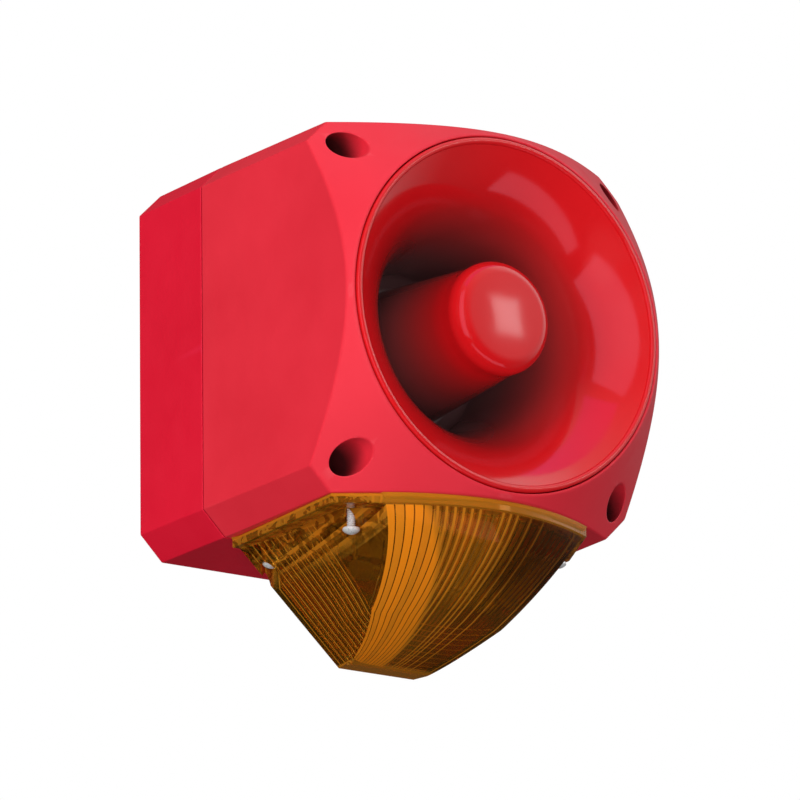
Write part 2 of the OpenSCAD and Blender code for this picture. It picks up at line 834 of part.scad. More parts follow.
module lens_screws() color(steel) stand() hang() {
    for (p = lens_screws_at)
        translate([p[0], -well_h, p[1]]) rotate([90, 0, 0]) pan_screw(m3_r, 2.9, 2.2, 16);
}

tube_y = -79;
tube_r = 2.6;
tube_half = 22;
tube_cap_r = 3.3;
leg_x = tube_half + 1;
leg_r = 0.8;

module beacon_reflector() color("white") stand() {
    difference() {
        hang() union() {
            translate([-38, -2, beacon_z0 - 3.6]) cube([76, 2, beacon_z1 - beacon_z0 + 7.2]);
            translate([-beacon_x + 0.4, -0.5, beacon_z0 + 0.8])
                cube([2 * beacon_x - 0.8, 2.5, beacon_z1 - beacon_z0 - 1.6]);
        }
        for (s = [-1, 1])
            translate([s * leg_x, tube_y, beacon_mid]) rotate([-90, 0, 0])
                cylinder(r = 1.4, h = 30);
    }
}

module flash_tube() color([0.9, 0.93, 0.95, 0.4]) stand() {
    translate([-tube_half, tube_y, beacon_mid]) rotate([0, 90, 0])
        tube(tube_r, tube_r - 0.7, 2 * tube_half);
}

module tube_caps() color(steel) stand() {
    for (s = [-1, 1]) {
        translate([s * (tube_half - 1), tube_y, beacon_mid]) rotate([0, 90, 0])
            difference() {
                translate([0, 0, -3]) cylinder(r = tube_cap_r, h = 6);
                translate([0, 0, s > 0 ? -4 : -1]) cylinder(r = tube_r, h = 5);
            }
        translate([s * leg_x, tube_y, beacon_mid]) rotate([-90, 0, 0])
            cylinder(r = leg_r, h = beacon_board_y + board_t + 1 - tube_y);
    }
}

beacon_board_y = -60;
module beacon_board() color(pcb_green) stand() {
    difference() {
        translate([-41, beacon_board_y, 56]) cube([82, board_t, 28]);
        for (s = [-1, 1]) {
            translate([s * beacon_screw_x, beacon_board_y - 1, beacon_mid]) rotate([-90, 0, 0])
                cylinder(r = 1.2, h = 4);
            translate([s * leg_x, beacon_board_y - 1, beacon_mid]) rotate([-90, 0, 0])
                cylinder(r = leg_r + 0.02, h = 4);
        }
    }
}

module beacon_screws() color(steel) stand() {
    for (s = [-1, 1])
        translate([s * beacon_screw_x, beacon_board_y + board_t, beacon_mid])
            rotate([-90, 0, 0]) pan_screw(1, 1.9, 1.3, 4);
}

module trigger_coil() color([0.75, 0.35, 0.15]) stand() {
    translate([10, beacon_board_y + board_t, beacon_mid]) rotate([-90, 0, 0]) {
        cylinder(r = 4.4, h = 1.2);
        cylinder(r = 3.4, h = 9);
        translate([0, 0, 8]) cylinder(r = 4.4, h = 1.2);
    }
}

ribbon_t = 0.8;
// Flat lead from the beacon board up and back to the main board
module beacon_ribbon() color([0.6, 0.6, 0.62]) stand() {
    y0 = beacon_board_y + board_t;
    translate([-15, 0, 0]) rotate([90, 0, 90]) linear_extrude(10)
        polygon([[y0, 60], [-52, 60], [-46, 52], [-46, main_board_top],
            [-46 + ribbon_t, main_board_top], [-46 + ribbon_t, 52.3], [-51.6, 60 + ribbon_t],
            [y0, 60 + ribbon_t]]);
}

module screw_retainers() color(black) stand() {
    for (c = four_corners)
        translate([c[0] * screw_off, c[1] * screw_off, retainer_z + 0.1])
            tube(retainer_r, m5_r + 0.06, retainer_t);
}

module cover_screw(i) color(steel) stand() {
    c = four_corners[i - 1];
    translate([c[0] * screw_off, c[1] * screw_off, seat_z]) pan_screw(m5_r, 4.7, 3.4, 36);
}

module cover_screw_1() cover_screw(1);
module cover_screw_2() cover_screw(2);
module cover_screw_3() cover_screw(3);
module cover_screw_4() cover_screw(4);

base_box();
cover_inserts();
housing_seal();
base_board();
base_board_screws();
terminal_block();
terminal_clamps();
terminal_screws();
link_socket();
tone_switch();
tone_lever_1();
tone_lever_2();
tone_lever_3();
tone_lever_4();
tone_lever_5();
tone_lever_6();
volume_trimmer();
volume_rotor();
entry_plugs();
plug_orings();
front_housing();
horn_bell();
bell_seal();
bell_screws();
horn_bullet();
bullet_screws();
tone_tube();
throat_gasket();
driver_screws();
surround();
top_plate();
magnet();
pole_piece();
diaphragm();
voice_coil();
main_board();
main_board_screws();
link_plug();
flash_capacitor();
transformer_winding();
transformer_core();
choke();
board_chips();
board_capacitors();
beacon_reflector();
flash_tube();
tube_caps();
beacon_board();
beacon_screws();
trigger_coil();
beacon_ribbon();
lens();
lens_seal();
lens_screws();
screw_retainers();
cover_screw_1();
cover_screw_2();
cover_screw_3();
cover_screw_4();
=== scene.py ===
"""Looks of a wall-mounted horn strobe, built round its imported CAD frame.

The wall is the plane Y = 0 and the horn faces -Y. Shapes are worked out in wall coordinates:
x to the right, y up, z out of the wall, in millimetres. to_row() turns them into the row's frame.
"""

import json
import math
from functools import partialmethod

import bmesh
import bpy
import numpy as np
from mathutils import Matrix, Vector


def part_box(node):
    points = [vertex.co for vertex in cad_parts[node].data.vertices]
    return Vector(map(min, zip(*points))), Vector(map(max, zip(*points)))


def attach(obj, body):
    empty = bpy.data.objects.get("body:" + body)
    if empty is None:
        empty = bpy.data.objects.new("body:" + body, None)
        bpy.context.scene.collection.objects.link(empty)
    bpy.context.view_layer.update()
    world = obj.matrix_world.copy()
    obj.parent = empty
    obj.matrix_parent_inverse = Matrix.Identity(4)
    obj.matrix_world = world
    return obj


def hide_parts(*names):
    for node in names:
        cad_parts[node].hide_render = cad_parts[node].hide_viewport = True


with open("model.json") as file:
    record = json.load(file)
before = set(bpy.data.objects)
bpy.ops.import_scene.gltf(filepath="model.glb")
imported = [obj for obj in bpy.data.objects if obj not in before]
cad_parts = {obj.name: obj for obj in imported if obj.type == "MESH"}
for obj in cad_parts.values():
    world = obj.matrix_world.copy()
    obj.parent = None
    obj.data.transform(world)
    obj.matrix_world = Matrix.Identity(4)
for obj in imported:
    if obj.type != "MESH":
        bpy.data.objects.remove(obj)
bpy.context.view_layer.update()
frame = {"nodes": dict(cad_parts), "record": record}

MM = 0.001


# ---- Driving sizes, read from the frame where it has them ----
def mm_box(node):
    """Lowest and highest corner of a node in wall coordinates."""
    lo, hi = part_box(node)
    return (lo.x / MM, lo.z / MM, -hi.y / MM), (hi.x / MM, hi.z / MM, -lo.y / MM)


HALF, _, BOX_TOP = mm_box("base_box")[1]
FRONT_BACK = BOX_TOP + 0.6
BOX_D = BOX_TOP + 0.3
RIM_D = mm_box("front_housing")[1][2]
CHAMFER = 8.7
WALL = 3.0
SKIN = WALL - 0.2
DRAFT = math.radians(0.95)
DIAG = (2 * HALF - CHAMFER) / math.sqrt(2)
CONE_D, CONE_R, CONE_SLOPE = 103.3, 85.9, 1.03
CONE_NORMAL = math.hypot(1, CONE_SLOPE)
MOUTH_R = 62.0
SCREW_OFF = 54.5
WELL_R = 5.6
SEAT_Z = 60.0
CEILING = 112.0
TERMINAL_BOARD_HOLES = ((32, 14), (-32, 14), (-32, -39), (32, -39))
MAIN_BOARD_Y = 40.0
BEACON_SCREW_X, BEACON_SCREW_Z = 37.2, 70.0
DRIVER_SCREW_R = 28.6
ENTRY_X, ENTRY_Z = 24.0, 20.0
PILOT_R = 1.52
CORNERS = ((1, 1), (-1, 1), (-1, -1), (1, -1))


def cone_z(r):
    """Depth of the housing's front cone at a distance from the horn's axis."""
    return CONE_D + CONE_SLOPE * (CONE_R - r)


def four(x, y):
    """The four points at x and y from the horn's axis, one in each quarter."""
    return [(x * side, y * end) for side, end in CORNERS]


COVER_SCREWS = four(SCREW_OFF, SCREW_OFF)
WALL_HOLES = four(45.0, 45.0)
RIM_SCREWS = four(59.4 / math.sqrt(2), 59.4 / math.sqrt(2))
MAIN_BOARD_HOLES = four(43.0, MAIN_BOARD_Y)


# ---- Closed surfaces as stacks of rings ----
def to_row(p):
    """A point in wall coordinates as a point in the row's frame, in metres."""
    return (p[0] * MM, -p[2] * MM, p[1] * MM)


def ring_solid(rings, loop=False):
    """Points and faces of the surface through rings. A one-point ring is a pole; open ends get caps."""
    points, faces, starts = [], [], []
    for ring in rings:
        starts.append(len(points))
        points.extend([tuple(p) for p in ring])
    pairs = list(range(len(rings) - 1)) + ([len(rings) - 1] if loop else [])
    for k in pairs:
        a, b = k, (k + 1) % len(rings)
        na, nb = len(rings[a]), len(rings[b])
        n = max(na, nb)
        for i in range(n):
            j = (i + 1) % n
            if na == 1:
                faces.append((starts[a], starts[b] + i, starts[b] + j))
            elif nb == 1:
                faces.append((starts[a] + j, starts[a] + i, starts[b]))
            else:
                faces.append((starts[a] + j, starts[a] + i, starts[b] + i, starts[b] + j))
    if not loop:
        for k in (0, len(rings) - 1):
            if len(rings[k]) > 1:
                faces.append(tuple(starts[k] + i for i in range(len(rings[k]))))
    return points, faces


def join(*solids):
    """Several closed surfaces, which don't meet, as one list of points and faces."""
    points, faces = [], []
    for more_points, more_faces in solids:
        start = len(points)
        points.extend(more_points)
        faces.extend(tuple(start + i for i in f) for f in more_faces)
    return points, faces


def circle(r, z, n=64, centre=(0, 0)):
    """A ring of n points round an axis through centre, or its single point where r is 0."""
    if r == 0:
        return [(centre[0], centre[1], z)]
    turns = [2 * math.pi * i / n for i in range(n)]
    return [(centre[0] + r * math.cos(a), centre[1] + r * math.sin(a), z) for a in turns]


def lathe(profile, n=64, centre=(0, 0), loop=False):
    """A solid turned about an axis out of the wall, from (radius, depth) pairs."""
    return ring_solid([circle(r, z, n, centre) for r, z in profile], loop)


def turned_up(solid, at):
    """A solid made round the z axis, turned so that its axis points up, with its origin moved to at."""
    points = [(at[0] + x, at[1] + z, at[2] - y) for x, y, z in solid[0]]
    return points, solid[1]


def block(x, y, z):
    """A box between pairs of limits."""
    corners = ((x[0], y[0]), (x[1], y[0]), (x[1], y[1]), (x[0], y[1]))
    return ring_solid([[(a, b, c) for a, b in corners] for c in z])


def bezier(a, b, c, n):
    """n + 1 points of the curve from a to c that leans towards b."""
    steps = [i / n for i in range(n + 1)]
    return [tuple((1 - t) ** 2 * p + 2 * t * (1 - t) * q + t * t * s for p, q, s in zip(a, b, c))
            for t in steps]


def arc(centre, r, first, last, n, squash=1.0):
    """n + 1 points of an arc between two angles."""
    angles = [first + (last - first) * i / n for i in range(n + 1)]
    return [(centre[0] + r * math.cos(a), centre[1] + squash * r * math.sin(a)) for a in angles]


def hole(r, z0, z1, centre=(0, 0), n=48):
    """A cylinder between two depths."""
    return lathe([(0, z0), (r, z0), (r, z1), (0, z1)], n, centre)


def new_object(name, data):
    """A new object in the scene."""
    obj = bpy.data.objects.new(name, data)
    bpy.context.scene.collection.objects.link(obj)
    return obj


def make(name, solid):
    """A mesh object from a closed surface in wall coordinates, its faces turned outwards."""
    mesh = bpy.data.meshes.new(name)
    mesh.from_pydata([to_row(p) for p in solid[0]], [], solid[1])
    work = bmesh.new()
    work.from_mesh(mesh)
    bmesh.ops.recalc_face_normals(work, faces=work.faces)
    work.to_mesh(mesh)
    work.free()
    return new_object(name, mesh)


def carve(obj, solid, operation="DIFFERENCE"):
    """Cuts a closed surface out of obj. UNION joins it on and INTERSECT keeps what both fill."""
    tool = make(obj.name + "_tool", solid) if isinstance(solid, tuple) else solid
    step = obj.modifiers.new("carve", "BOOLEAN")
    step.operation = operation
    step.solver = "MANIFOLD"
    step.object = tool
    settle(obj)
    mesh = tool.data
    bpy.data.objects.remove(tool)
    bpy.data.meshes.remove(mesh)


def settle(obj):
    """Applies obj's modifiers to its mesh."""
    graph = bpy.context.evaluated_depsgraph_get()
    done = bpy.data.meshes.new_from_object(obj.evaluated_get(graph))
    old = obj.data
    obj.modifiers.clear()
    obj.data = done
    bpy.data.meshes.remove(old)


def smooth(obj, angle=30):
    """Smooth shading that keeps the edges sharper than angle, weighted by face size."""
    obj.data.shade_smooth()
    obj.data.set_sharp_from_angle(angle=math.radians(angle))
    weights = obj.modifiers.new("weights", "WEIGHTED_NORMAL")
    weights.keep_sharp = True


def fit(obj, body, slot, *nodes):
    """Puts a finished piece on its body, in its material, in place of its CAD nodes."""
    obj.data.materials.clear()
    obj.data.materials.append(material(slot))
    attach(obj, body)
    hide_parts(*nodes)


# ---- The case: a square with chamfered corners, drafted in front of the parting line ----
LONG_STEPS = 54
SHORT_STEPS = 8
EDGE_TURNS = tuple(math.radians(a) for a in (-0.5, -0.25, -0.1, 0, 0.1, 0.25, 0.5))
EDGE_POWER = 900


def ray_angles(inset):
    """Angles of rays round the case, close together at the eight edges of its outline, moved inwards."""
    half = HALF - inset
    edge = math.atan2(math.sqrt(2) * (DIAG - inset) - half, half)
    marks = [q * math.pi / 2 + s * edge for q in range(4) for s in (-1, 1)]
    angles = []
    for k, mark in enumerate(marks):
        end = marks[(k + 1) % 8] + (2 * math.pi if k == 7 else 0)
        steps = LONG_STEPS if k % 2 == 0 else SHORT_STEPS
        lo, hi = mark + EDGE_TURNS[-1], end + EDGE_TURNS[0]
        angles.extend(mark + t for t in EDGE_TURNS)
        angles.extend(lo + (hi - lo) * i / steps for i in range(1, steps))
    return np.array(angles)


def case_r(angles, inset):
    """Distance of the case's skin from the horn's axis along rays, for an inset from the full outline."""
    total = np.zeros(len(angles))
    half = HALF - inset
    for k in range(8):
        flat = half if k % 2 == 0 else DIAG - inset
        total += np.maximum(np.cos(angles - k * math.pi / 4) * half / flat, 0) ** EDGE_POWER
    return half / total ** (1 / EDGE_POWER)


def ring_at(angles, r, z):
    """Ring of points at distances r and depths z along rays."""
    r = np.broadcast_to(r, angles.shape)
    z = np.broadcast_to(z, angles.shape)
    return list(zip(r * np.cos(angles), r * np.sin(angles), z))


def box_ring(inset, z, share=1.0):
    """Ring of the straight-sided back box, or that ring scaled to a share of its size."""
    angles = ray_angles(inset)
    return ring_at(angles, share * case_r(angles, inset), z)


def drafted(z):
    """How far the front housing's side has come in at a depth."""
    return math.tan(DRAFT) * (z - BOX_D)


def back_box():
    """The open box on the wall, with the seal's ledge, its bosses and its cable entries."""
    floor, ledge = 3.2, 33.5
    corner = bezier((0.7, 0), (0, 0), (0, 0.7), 4)
    lip = bezier((0, BOX_TOP - 0.35), (0, BOX_TOP), (0.35, BOX_TOP), 3)
    inside = [(WALL, BOX_TOP), (WALL, ledge), (WALL + 2.4, ledge), (WALL + 2.4, ledge - 2),
              (WALL, ledge - 2)] + bezier((WALL, floor + 1), (WALL, floor), (WALL + 1, floor), 4)
    rings = [[(0, 0, 0)]] + [box_ring(corner[0][0], 0, share) for share in (0.33, 0.67)]
    rings += [box_ring(inset, z) for inset, z in corner + [(0, 20)] + lip + inside]
    rings += [box_ring(inside[-1][0], floor, share) for share in (0.67, 0.33)] + [[(0, 0, floor)]]
    box = make("back_box", ring_solid(rings))
    top, under = ledge - 0.4, floor - 0.1
    bosses = [hole(5.6, under, top, p) for p in COVER_SCREWS]
    bosses += [hole(6, under, floor + 2, p) for p in WALL_HOLES]
    bosses += [hole(3, under, 9, p) for p in TERMINAL_BOARD_HOLES]
    carve(box, join(*bosses), "UNION")
    bore = [(0, 16.1), (2.9, 16.1), (2.9, top - 11), (3.4, top - 11), (3.4, top + 1), (0, top + 1)]
    cuts = [lathe(bore, 48, p) for p in COVER_SCREWS]
    cuts += [hole(2.6, -1, 11, p) for p in WALL_HOLES]
    cuts += [hole(PILOT_R, floor, 12, p, 24) for p in TERMINAL_BOARD_HOLES]
    entry_r, rear_entry = 10.25, (0, 38)
    cuts += [hole(entry_r, -1, floor + 1, rear_entry, 96)]
    cuts += [turned_up(hole(entry_r, -5, 1, n=96), (s * ENTRY_X, HALF, ENTRY_Z)) for s in (-1, 1)]
    carve(box, join(*cuts))
    smooth(box)
    fit(box, "base", "red_housing", "base_box")


def cone_ring(r, centre, lift):
    """A ring round centre on the housing's cone, lifted off it by an amount."""
    return [(x, y, cone_z(math.hypot(x, y)) + lift) for x, y, _ in circle(r, 0, 64, centre)]


def well(centre):
    """The deep hole over a cover screw, with a softened mouth on the sloping front."""
    edge, steps = 0.5, 6
    bore, groove = 2.8, 4.2
    shaft = [(0, 30), (bore, 30), (bore, 50), (groove, 50), (groove, 51.6), (bore, 51.6), (bore, SEAT_Z),
             (WELL_R, SEAT_Z)]
    rings = [circle(r, z, 64, centre) for r, z in shaft]
    for k in range(steps + 1):
        below = edge * (1 - k / steps)
        r = WELL_R + edge - math.sqrt(edge ** 2 - (edge - below) ** 2)
        rings.append(cone_ring(r, centre, -below))
    rings.append(cone_ring(r + edge, centre, edge))
    rings.append(circle(0, 140, 1, centre))
    return ring_solid(rings)


def well_wall(centre):
    """The tube round that hole, which ends inside the sloping skin."""
    r, foot, below = WELL_R + 2.4, 42.9, -2.2
    rings = [circle(a, z, 64, centre) for a, z in ((0, 33.5), (4.6, 33.5), (4.6, foot), (r, foot))]
    return ring_solid(rings + [cone_ring(r, centre, below), cone_ring(0, centre, below)])


def front_rings():
    """Rings of the front housing's skin: up the side, over the cone, down the collar, back inside."""
    edge_up, edge_in = 0.8, 0.6
    edge_z = cone_z(CONE_R)
    angles = ray_angles(drafted(edge_z))
    # The drafted side and the cone each set where they meet, which a few rounds settle
    top = np.full(len(angles), edge_z)
    for _ in range(8):
        r = case_r(angles, drafted(top))
        top = cone_z(r)
    inner_top = np.full(len(angles), edge_z)
    for _ in range(8):
        inner_r = case_r(angles, drafted(inner_top) + SKIN)
        inner_top = np.minimum(CEILING, cone_z(inner_r) - SKIN * CONE_NORMAL)

    def side(inset, z, share=None):
        """Ring on the side at one depth, or at a share of the way up to the cone."""
        if share is None:
            rays = ray_angles(drafted(z) + inset)
            return ring_at(rays, case_r(rays, drafted(z) + inset), z)
        depth = z + share * (top - edge_up - z)
        rays = ray_angles(drafted(z + share * (edge_z - z)))
        return ring_at(rays, case_r(rays, drafted(depth)), depth)

    rings = [side(0.3, FRONT_BACK), side(0.08, FRONT_BACK + 0.08), side(0, FRONT_BACK + 0.3)]
    rings += [side(0, FRONT_BACK + 0.3, share) for share in (0.25, 0.5, 0.75, 1)]
    low_r = np.hypot(*np.array(rings[-1])[:, :2].T)
    for t in (0.17, 0.33, 0.5, 0.67, 0.83, 1):
        low, mid, high = (1 - t) ** 2, 2 * t * (1 - t), t * t
        far = low * low_r + mid * r + high * (r - edge_in)
        depth = low * (top - edge_up) + mid * top + high * cone_z(r - edge_in)
        rings.append(ring_at(angles, far, depth))
    cone_in, steps = 63.3, 12
    for k in range(1, steps + 1):
        far = (r - edge_in) + (cone_in - (r - edge_in)) * k / steps
        rings.append(ring_at(angles, far, cone_z(far)))
    rim = bezier((cone_in, cone_z(cone_in)), (62.15, RIM_D + 0.25), (MOUTH_R, RIM_D - 0.9), 8)[1:]
    hole_r, bevel = 57.0, 0.2
    collar = [(MOUTH_R, 121), (MOUTH_R, LIP_Z + 0.1), (MOUTH_R - 0.1, LIP_Z), (hole_r + bevel, LIP_Z),
              (hole_r, LIP_Z - bevel), (hole_r, CEILING + bevel), (hole_r + bevel, CEILING)]
    rings += [ring_at(angles, far, z) for far, z in rim + collar]
    steps = 8
    for k in range(1, steps + 1):
        far = hole_r + bevel + (inner_r - hole_r - bevel) * k / steps
        rings.append(ring_at(angles, far, np.minimum(CEILING, cone_z(far) - SKIN * CONE_NORMAL)))
    # The tongue that presses on the seal, below the inside of the wall
    tongue_top, tip = FRONT_BACK + 4, 35.6
    near, far = WALL + 0.4, WALL + 2.2
    rings += [side(SKIN, 70), side(SKIN, tongue_top), side(far, tongue_top), side(far, tip)]
    rings += [side(far - bevel, tip - bevel), side(near + bevel, tip - bevel), side(near, tip),
              side(near, FRONT_BACK)]
    return rings


def front_housing():
    """The front half of the case, with its wells, bosses, ribs and the openings for the beacon."""
    shell = make("front_housing_shell", ring_solid(front_rings(), loop=True))
    bosses = [hole(3.6, 45.6, 61.6, p) for p in MAIN_BOARD_HOLES]
    carve(shell, join(*[well_wall(p) for p in COVER_SCREWS] + bosses), "UNION")
    ribs = [block(sorted((s * 42.8, s * 63.2)), (end * MAIN_BOARD_Y - 1.2, end * MAIN_BOARD_Y + 1.2),
                  (47.6, 61.5)) for s, end in CORNERS]
    inside = 2 - HALF
    for s in (-1, 1):
        for z, r in zip(LENS_SCREW_Z, (4.6, 5)):
            ribs.append(turned_up(hole(r, 0, 11), (s * LENS_SCREW_X, inside, z)))
        ribs.append(turned_up(hole(2.8, 0, 4, n=32), (s * BEACON_SCREW_X, inside, BEACON_SCREW_Z)))
    carve(shell, join(*ribs), "UNION")
    cuts = [well(p) for p in COVER_SCREWS] + [hole(PILOT_R, 40, 56, p, 24) for p in MAIN_BOARD_HOLES]
    cuts += [turned_up(hole(PILOT_R, -4, 9, n=24), (x, -HALF, z)) for x, z in LENS_SCREWS]
    cuts += [turned_up(hole(1.02, 3.4, 9.4, n=24), (s * BEACON_SCREW_X, -HALF, BEACON_SCREW_Z))
             for s in (-1, 1)]
    cuts.append(block((-34, 34), (-HALF - 1, 7 - HALF), (54, 86)))
    cuts += [hole(1.7, CEILING - 1, LIP_Z + 1, p, 24) for p in RIM_SCREWS]
    carve(shell, join(*cuts))
    smooth(shell)
    fit(shell, "front", "red_housing", "front_housing")


# ---- Horn ----
THROAT_R = 29.5
FLARE = 0.05
THROAT_Z = 68.0
FLOOR_Z = 60.5
BACK_Z = 58.0
LIP_R = MOUTH_R - 0.3
LIP_Z = 114.6
BEAD_R = 1.2
BEAD_Z = RIM_D - 0.5
BELL_T = 2.4
TURN_R = 5.5
POST_R = 20.6
FLARE_K = (LIP_R - 2 * BEAD_R - THROAT_R) / (math.exp(FLARE * (BEAD_Z - THROAT_Z)) - 1)


def bell_curve(thick, n=70):
    """The bell's inner curve from mouth to throat, moved outwards along its normal."""
    curve = []
    for i in range(n + 1):
        z = BEAD_Z - 0.6 + (THROAT_Z - BEAD_Z + 0.6) * i / n
        grown = math.exp(FLARE * (z - THROAT_Z))
        slope = FLARE_K * FLARE * grown
        long = math.hypot(1, slope)
        curve.append((THROAT_R + FLARE_K * (grown - 1) + thick / long, z - thick * slope / long))
    return curve


def thirds(r, first):
    """Three points round the horn's axis, a third of a turn apart from a first angle."""
    turns = [math.radians(first + 120 * i) for i in range(3)]
    return [(r * math.cos(a), r * math.sin(a)) for a in turns]


def horn_bell():
    """The bell, from its beaded lip down to the turn in the floor, with its screw holes."""
    bead = arc((LIP_R - BEAD_R, BEAD_Z), BEAD_R, 0, math.pi, 16, 0.9)
    turn = arc((THROAT_R - TURN_R, FLOOR_Z + TURN_R), TURN_R, 0, -math.pi / 2, 12)[1:]
    low, high, deep = LIP_Z + 5.2, LIP_Z + 6.8, LIP_R - 1.2
    groove = [(LIP_R, low), (deep, low), (deep, high), (LIP_R, high)]
    foot, tube_r = MOUTH_R - 4.8, 9.2
    profile = [(foot, LIP_Z + 4), (foot, LIP_Z), (LIP_R, LIP_Z)] + groove + bead
    profile += bell_curve(0) + turn + [(tube_r, FLOOR_Z), (tube_r, BACK_Z), (THROAT_R + BELL_T, BACK_Z)]
    profile += bell_curve(BELL_T, 30)[::-1]
    profile += [(LIP_R - BELL_T, LIP_Z + 7), (LIP_R - BELL_T, LIP_Z + 4)]
    bell = make("horn_bell_shell", lathe(profile, 256, loop=True))
    drill = [(0, BACK_Z - 1), (3.1, BACK_Z - 1), (3.1, BACK_Z), (1.7, BACK_Z + 1.8), (1.7, BACK_Z + 4),
             (0, BACK_Z + 4)]
    cuts = [hole(PILOT_R, LIP_Z - 1, LIP_Z + 3.2, p, 24) for p in RIM_SCREWS]
    cuts += [lathe(drill, 32, p) for p in thirds(POST_R, 90)]
    cuts += [hole(PILOT_R, BACK_Z - 1, BACK_Z + 4.2, p, 24) for p in thirds(DRIVER_SCREW_R, 30)]
    carve(bell, join(*cuts))
    smooth(bell, 40)
    fit(bell, "front", "red_gloss", "horn_bell")


def horn_bullet():
    """The hollow bullet over the tone tube: a bowed cap, a long taper and three posts."""
    cap_r, front, edge, back, rear_r, thick = 19.8, 127.0, 6.0, 67.0, 24.0, 2.0
    bow, lean = 0.0027, 0.078
    round_r = cap_r - edge
    edge_z = front - bow * (round_r + edge * math.sin(lean)) ** 2 - edge * math.cos(lean)
    neck_r, neck_z = cap_r - 0.3, 115
    profile = [(r, front - bow * r * r) for r in (0, 3, 6, 9, 12)]
    profile += arc((round_r, edge_z), edge, math.pi / 2 - lean, 0, 14)
    profile += bezier((cap_r, edge_z - 0.5), (cap_r - 0.25, 118), (neck_r, neck_z), 3)
    profile += [(neck_r + (rear_r - neck_r) * i / 8, neck_z + (back + 0.6 - neck_z) * i / 8)
                for i in range(1, 9)]
    profile += [(rear_r - 0.3, back), (rear_r - thick + 0.3, back), (rear_r - thick, back + 0.5)]
    profile += [(neck_r - thick, neck_z), (cap_r - thick, front - edge), (round_r, front - thick),
                (0, front - thick)]
    bullet = make("horn_bullet_shell", lathe(profile, 192))
    posts = thirds(POST_R, 90)
    carve(bullet, join(*[hole(3.2, FLOOR_Z, 69.5, p) for p in posts]), "UNION")
    carve(bullet, join(*[hole(PILOT_R, FLOOR_Z - 1, 68.5, p, 24) for p in posts]))
    smooth(bullet, 40)
    fit(bullet, "front", "red_gloss", "horn_bullet")


# ---- Beacon lens ----
# Height, wall, the power of its front curve, then half widths and depths and what they lose downwards
LENS_H = 41.7
LENS_T = 2.4
LENS_POW = 1.5
LENS_BACK, BACK_LEAN = 40.4, 5.0
SIDE_X, SIDE_TAPER = 55.2, 39.8
RIDGE_X, RIDGE_TAPER, RIDGE_STEP = 41.8, 20.0, 1.4
FOOT_D, RIDGE_DEEP, MIDDLE_DEEP = 51.6, 60.8, 72.4
FLUTES = 27
FLUTE_DEEP = 0.75
RIB_PITCH = 3.0
RIB_DEEP = 0.6
RIB_SPAN = 38.0
LEVELS = 72
SIDE_COLUMNS = 66
FLUTE_COLUMNS = 8
LENS_SCREW_X, LENS_SCREW_Z = 42.5, (45.5, 94.0)
LENS_SCREWS = [(s * LENS_SCREW_X, z) for s in (-1, 1) for z in LENS_SCREW_Z]
LENS_PILLAR_R = 5.4
LENS_SEAT = -8.0
RIM_H = 3.4


def hung(solid):
    """Tilts a solid made under the level plane y = 0 onto the housing's sloping bottom face."""
    c, s = math.cos(DRAFT), math.sin(DRAFT)
    points = [(x, y * c + (z - BOX_D) * s - HALF, BOX_D - y * s + (z - BOX_D) * c) for x, y, z in solid[0]]
    return points, solid[1]


def lens_level(share, inset, cut=0.0):
    """One level of the lens: a flat ribbed side, the bowed fluted front and the other side.

    share is how far down the lens the level is, and cut scales the relief of flutes and ribs.
    """
    left = max(0.0, 1 - share ** LENS_POW) ** (1 / LENS_POW)
    # The right back edge, the ridge beside the front and the middle of the front
    side_x = SIDE_X - SIDE_TAPER * share
    ridge_x = min(RIDGE_X - RIDGE_TAPER * share, side_x + RIDGE_STEP)
    ridge_d = FOOT_D + RIDGE_DEEP * left
    mid_d = FOOT_D + MIDDLE_DEEP * left
    back = LENS_BACK + BACK_LEAN * share

    def front(u, t):
        """A spot across the front, moved inwards. Each line moves its own share, so the wall stays even."""
        xr = ridge_x - 1.2 * t
        dr = max(ridge_d - 1.6 * t, back + t + 0.6)
        dm = max(mid_d - 1.7 * t, dr + 0.01)
        return xr * u, dm + (dr - dm) * u * u

    def side(v, t):
        """A spot between the right back edge and the ridge, moved inwards."""
        bx, bd = side_x - 1.34 * t, back + t
        rx, rd = front(1, t)
        return bx + (rx - bx) * v, bd + (rd - bd) * v

    ring = []
    room = min(1.0, left * 3)
    start = min(1.0, share * 12)
    for k in range(SIDE_COLUMNS):
        v = k / SIDE_COLUMNS
        depth = (ridge_d - back) * v
        wave = abs(math.sin(math.pi * depth / RIB_PITCH))
        fade = min(1.0, max(0.0, (RIB_SPAN - depth) / RIB_PITCH)) * start
        ring.append(side(v, inset + cut * RIB_DEEP * (wave - 0.5) * fade * room))
    columns = FLUTES * FLUTE_COLUMNS
    for k in range(columns + 1):
        u = 1 - 2 * k / columns
        wave = abs(math.sin(math.pi * k / FLUTE_COLUMNS))
        ring.append(front(u, inset + cut * FLUTE_DEEP * (0.5 - wave) * start * room))
    left_side = [(-x, d) for x, d in reversed(ring[:SIDE_COLUMNS])]
    return ring + left_side


def lens_shape(inset, top, cut=0.0):
    """A closed solid of the lens's outside moved inwards, from its top plane down."""
    rings = []
    for k in range(LEVELS + 1):
        share = math.sin(math.pi / 2 * k / LEVELS) ** (2 / LENS_POW)
        y = top if k == 0 else -share * (LENS_H - inset)
        rings.append([(x, y, d) for x, d in lens_level(share, inset, cut)])
    return hung(ring_solid(rings))


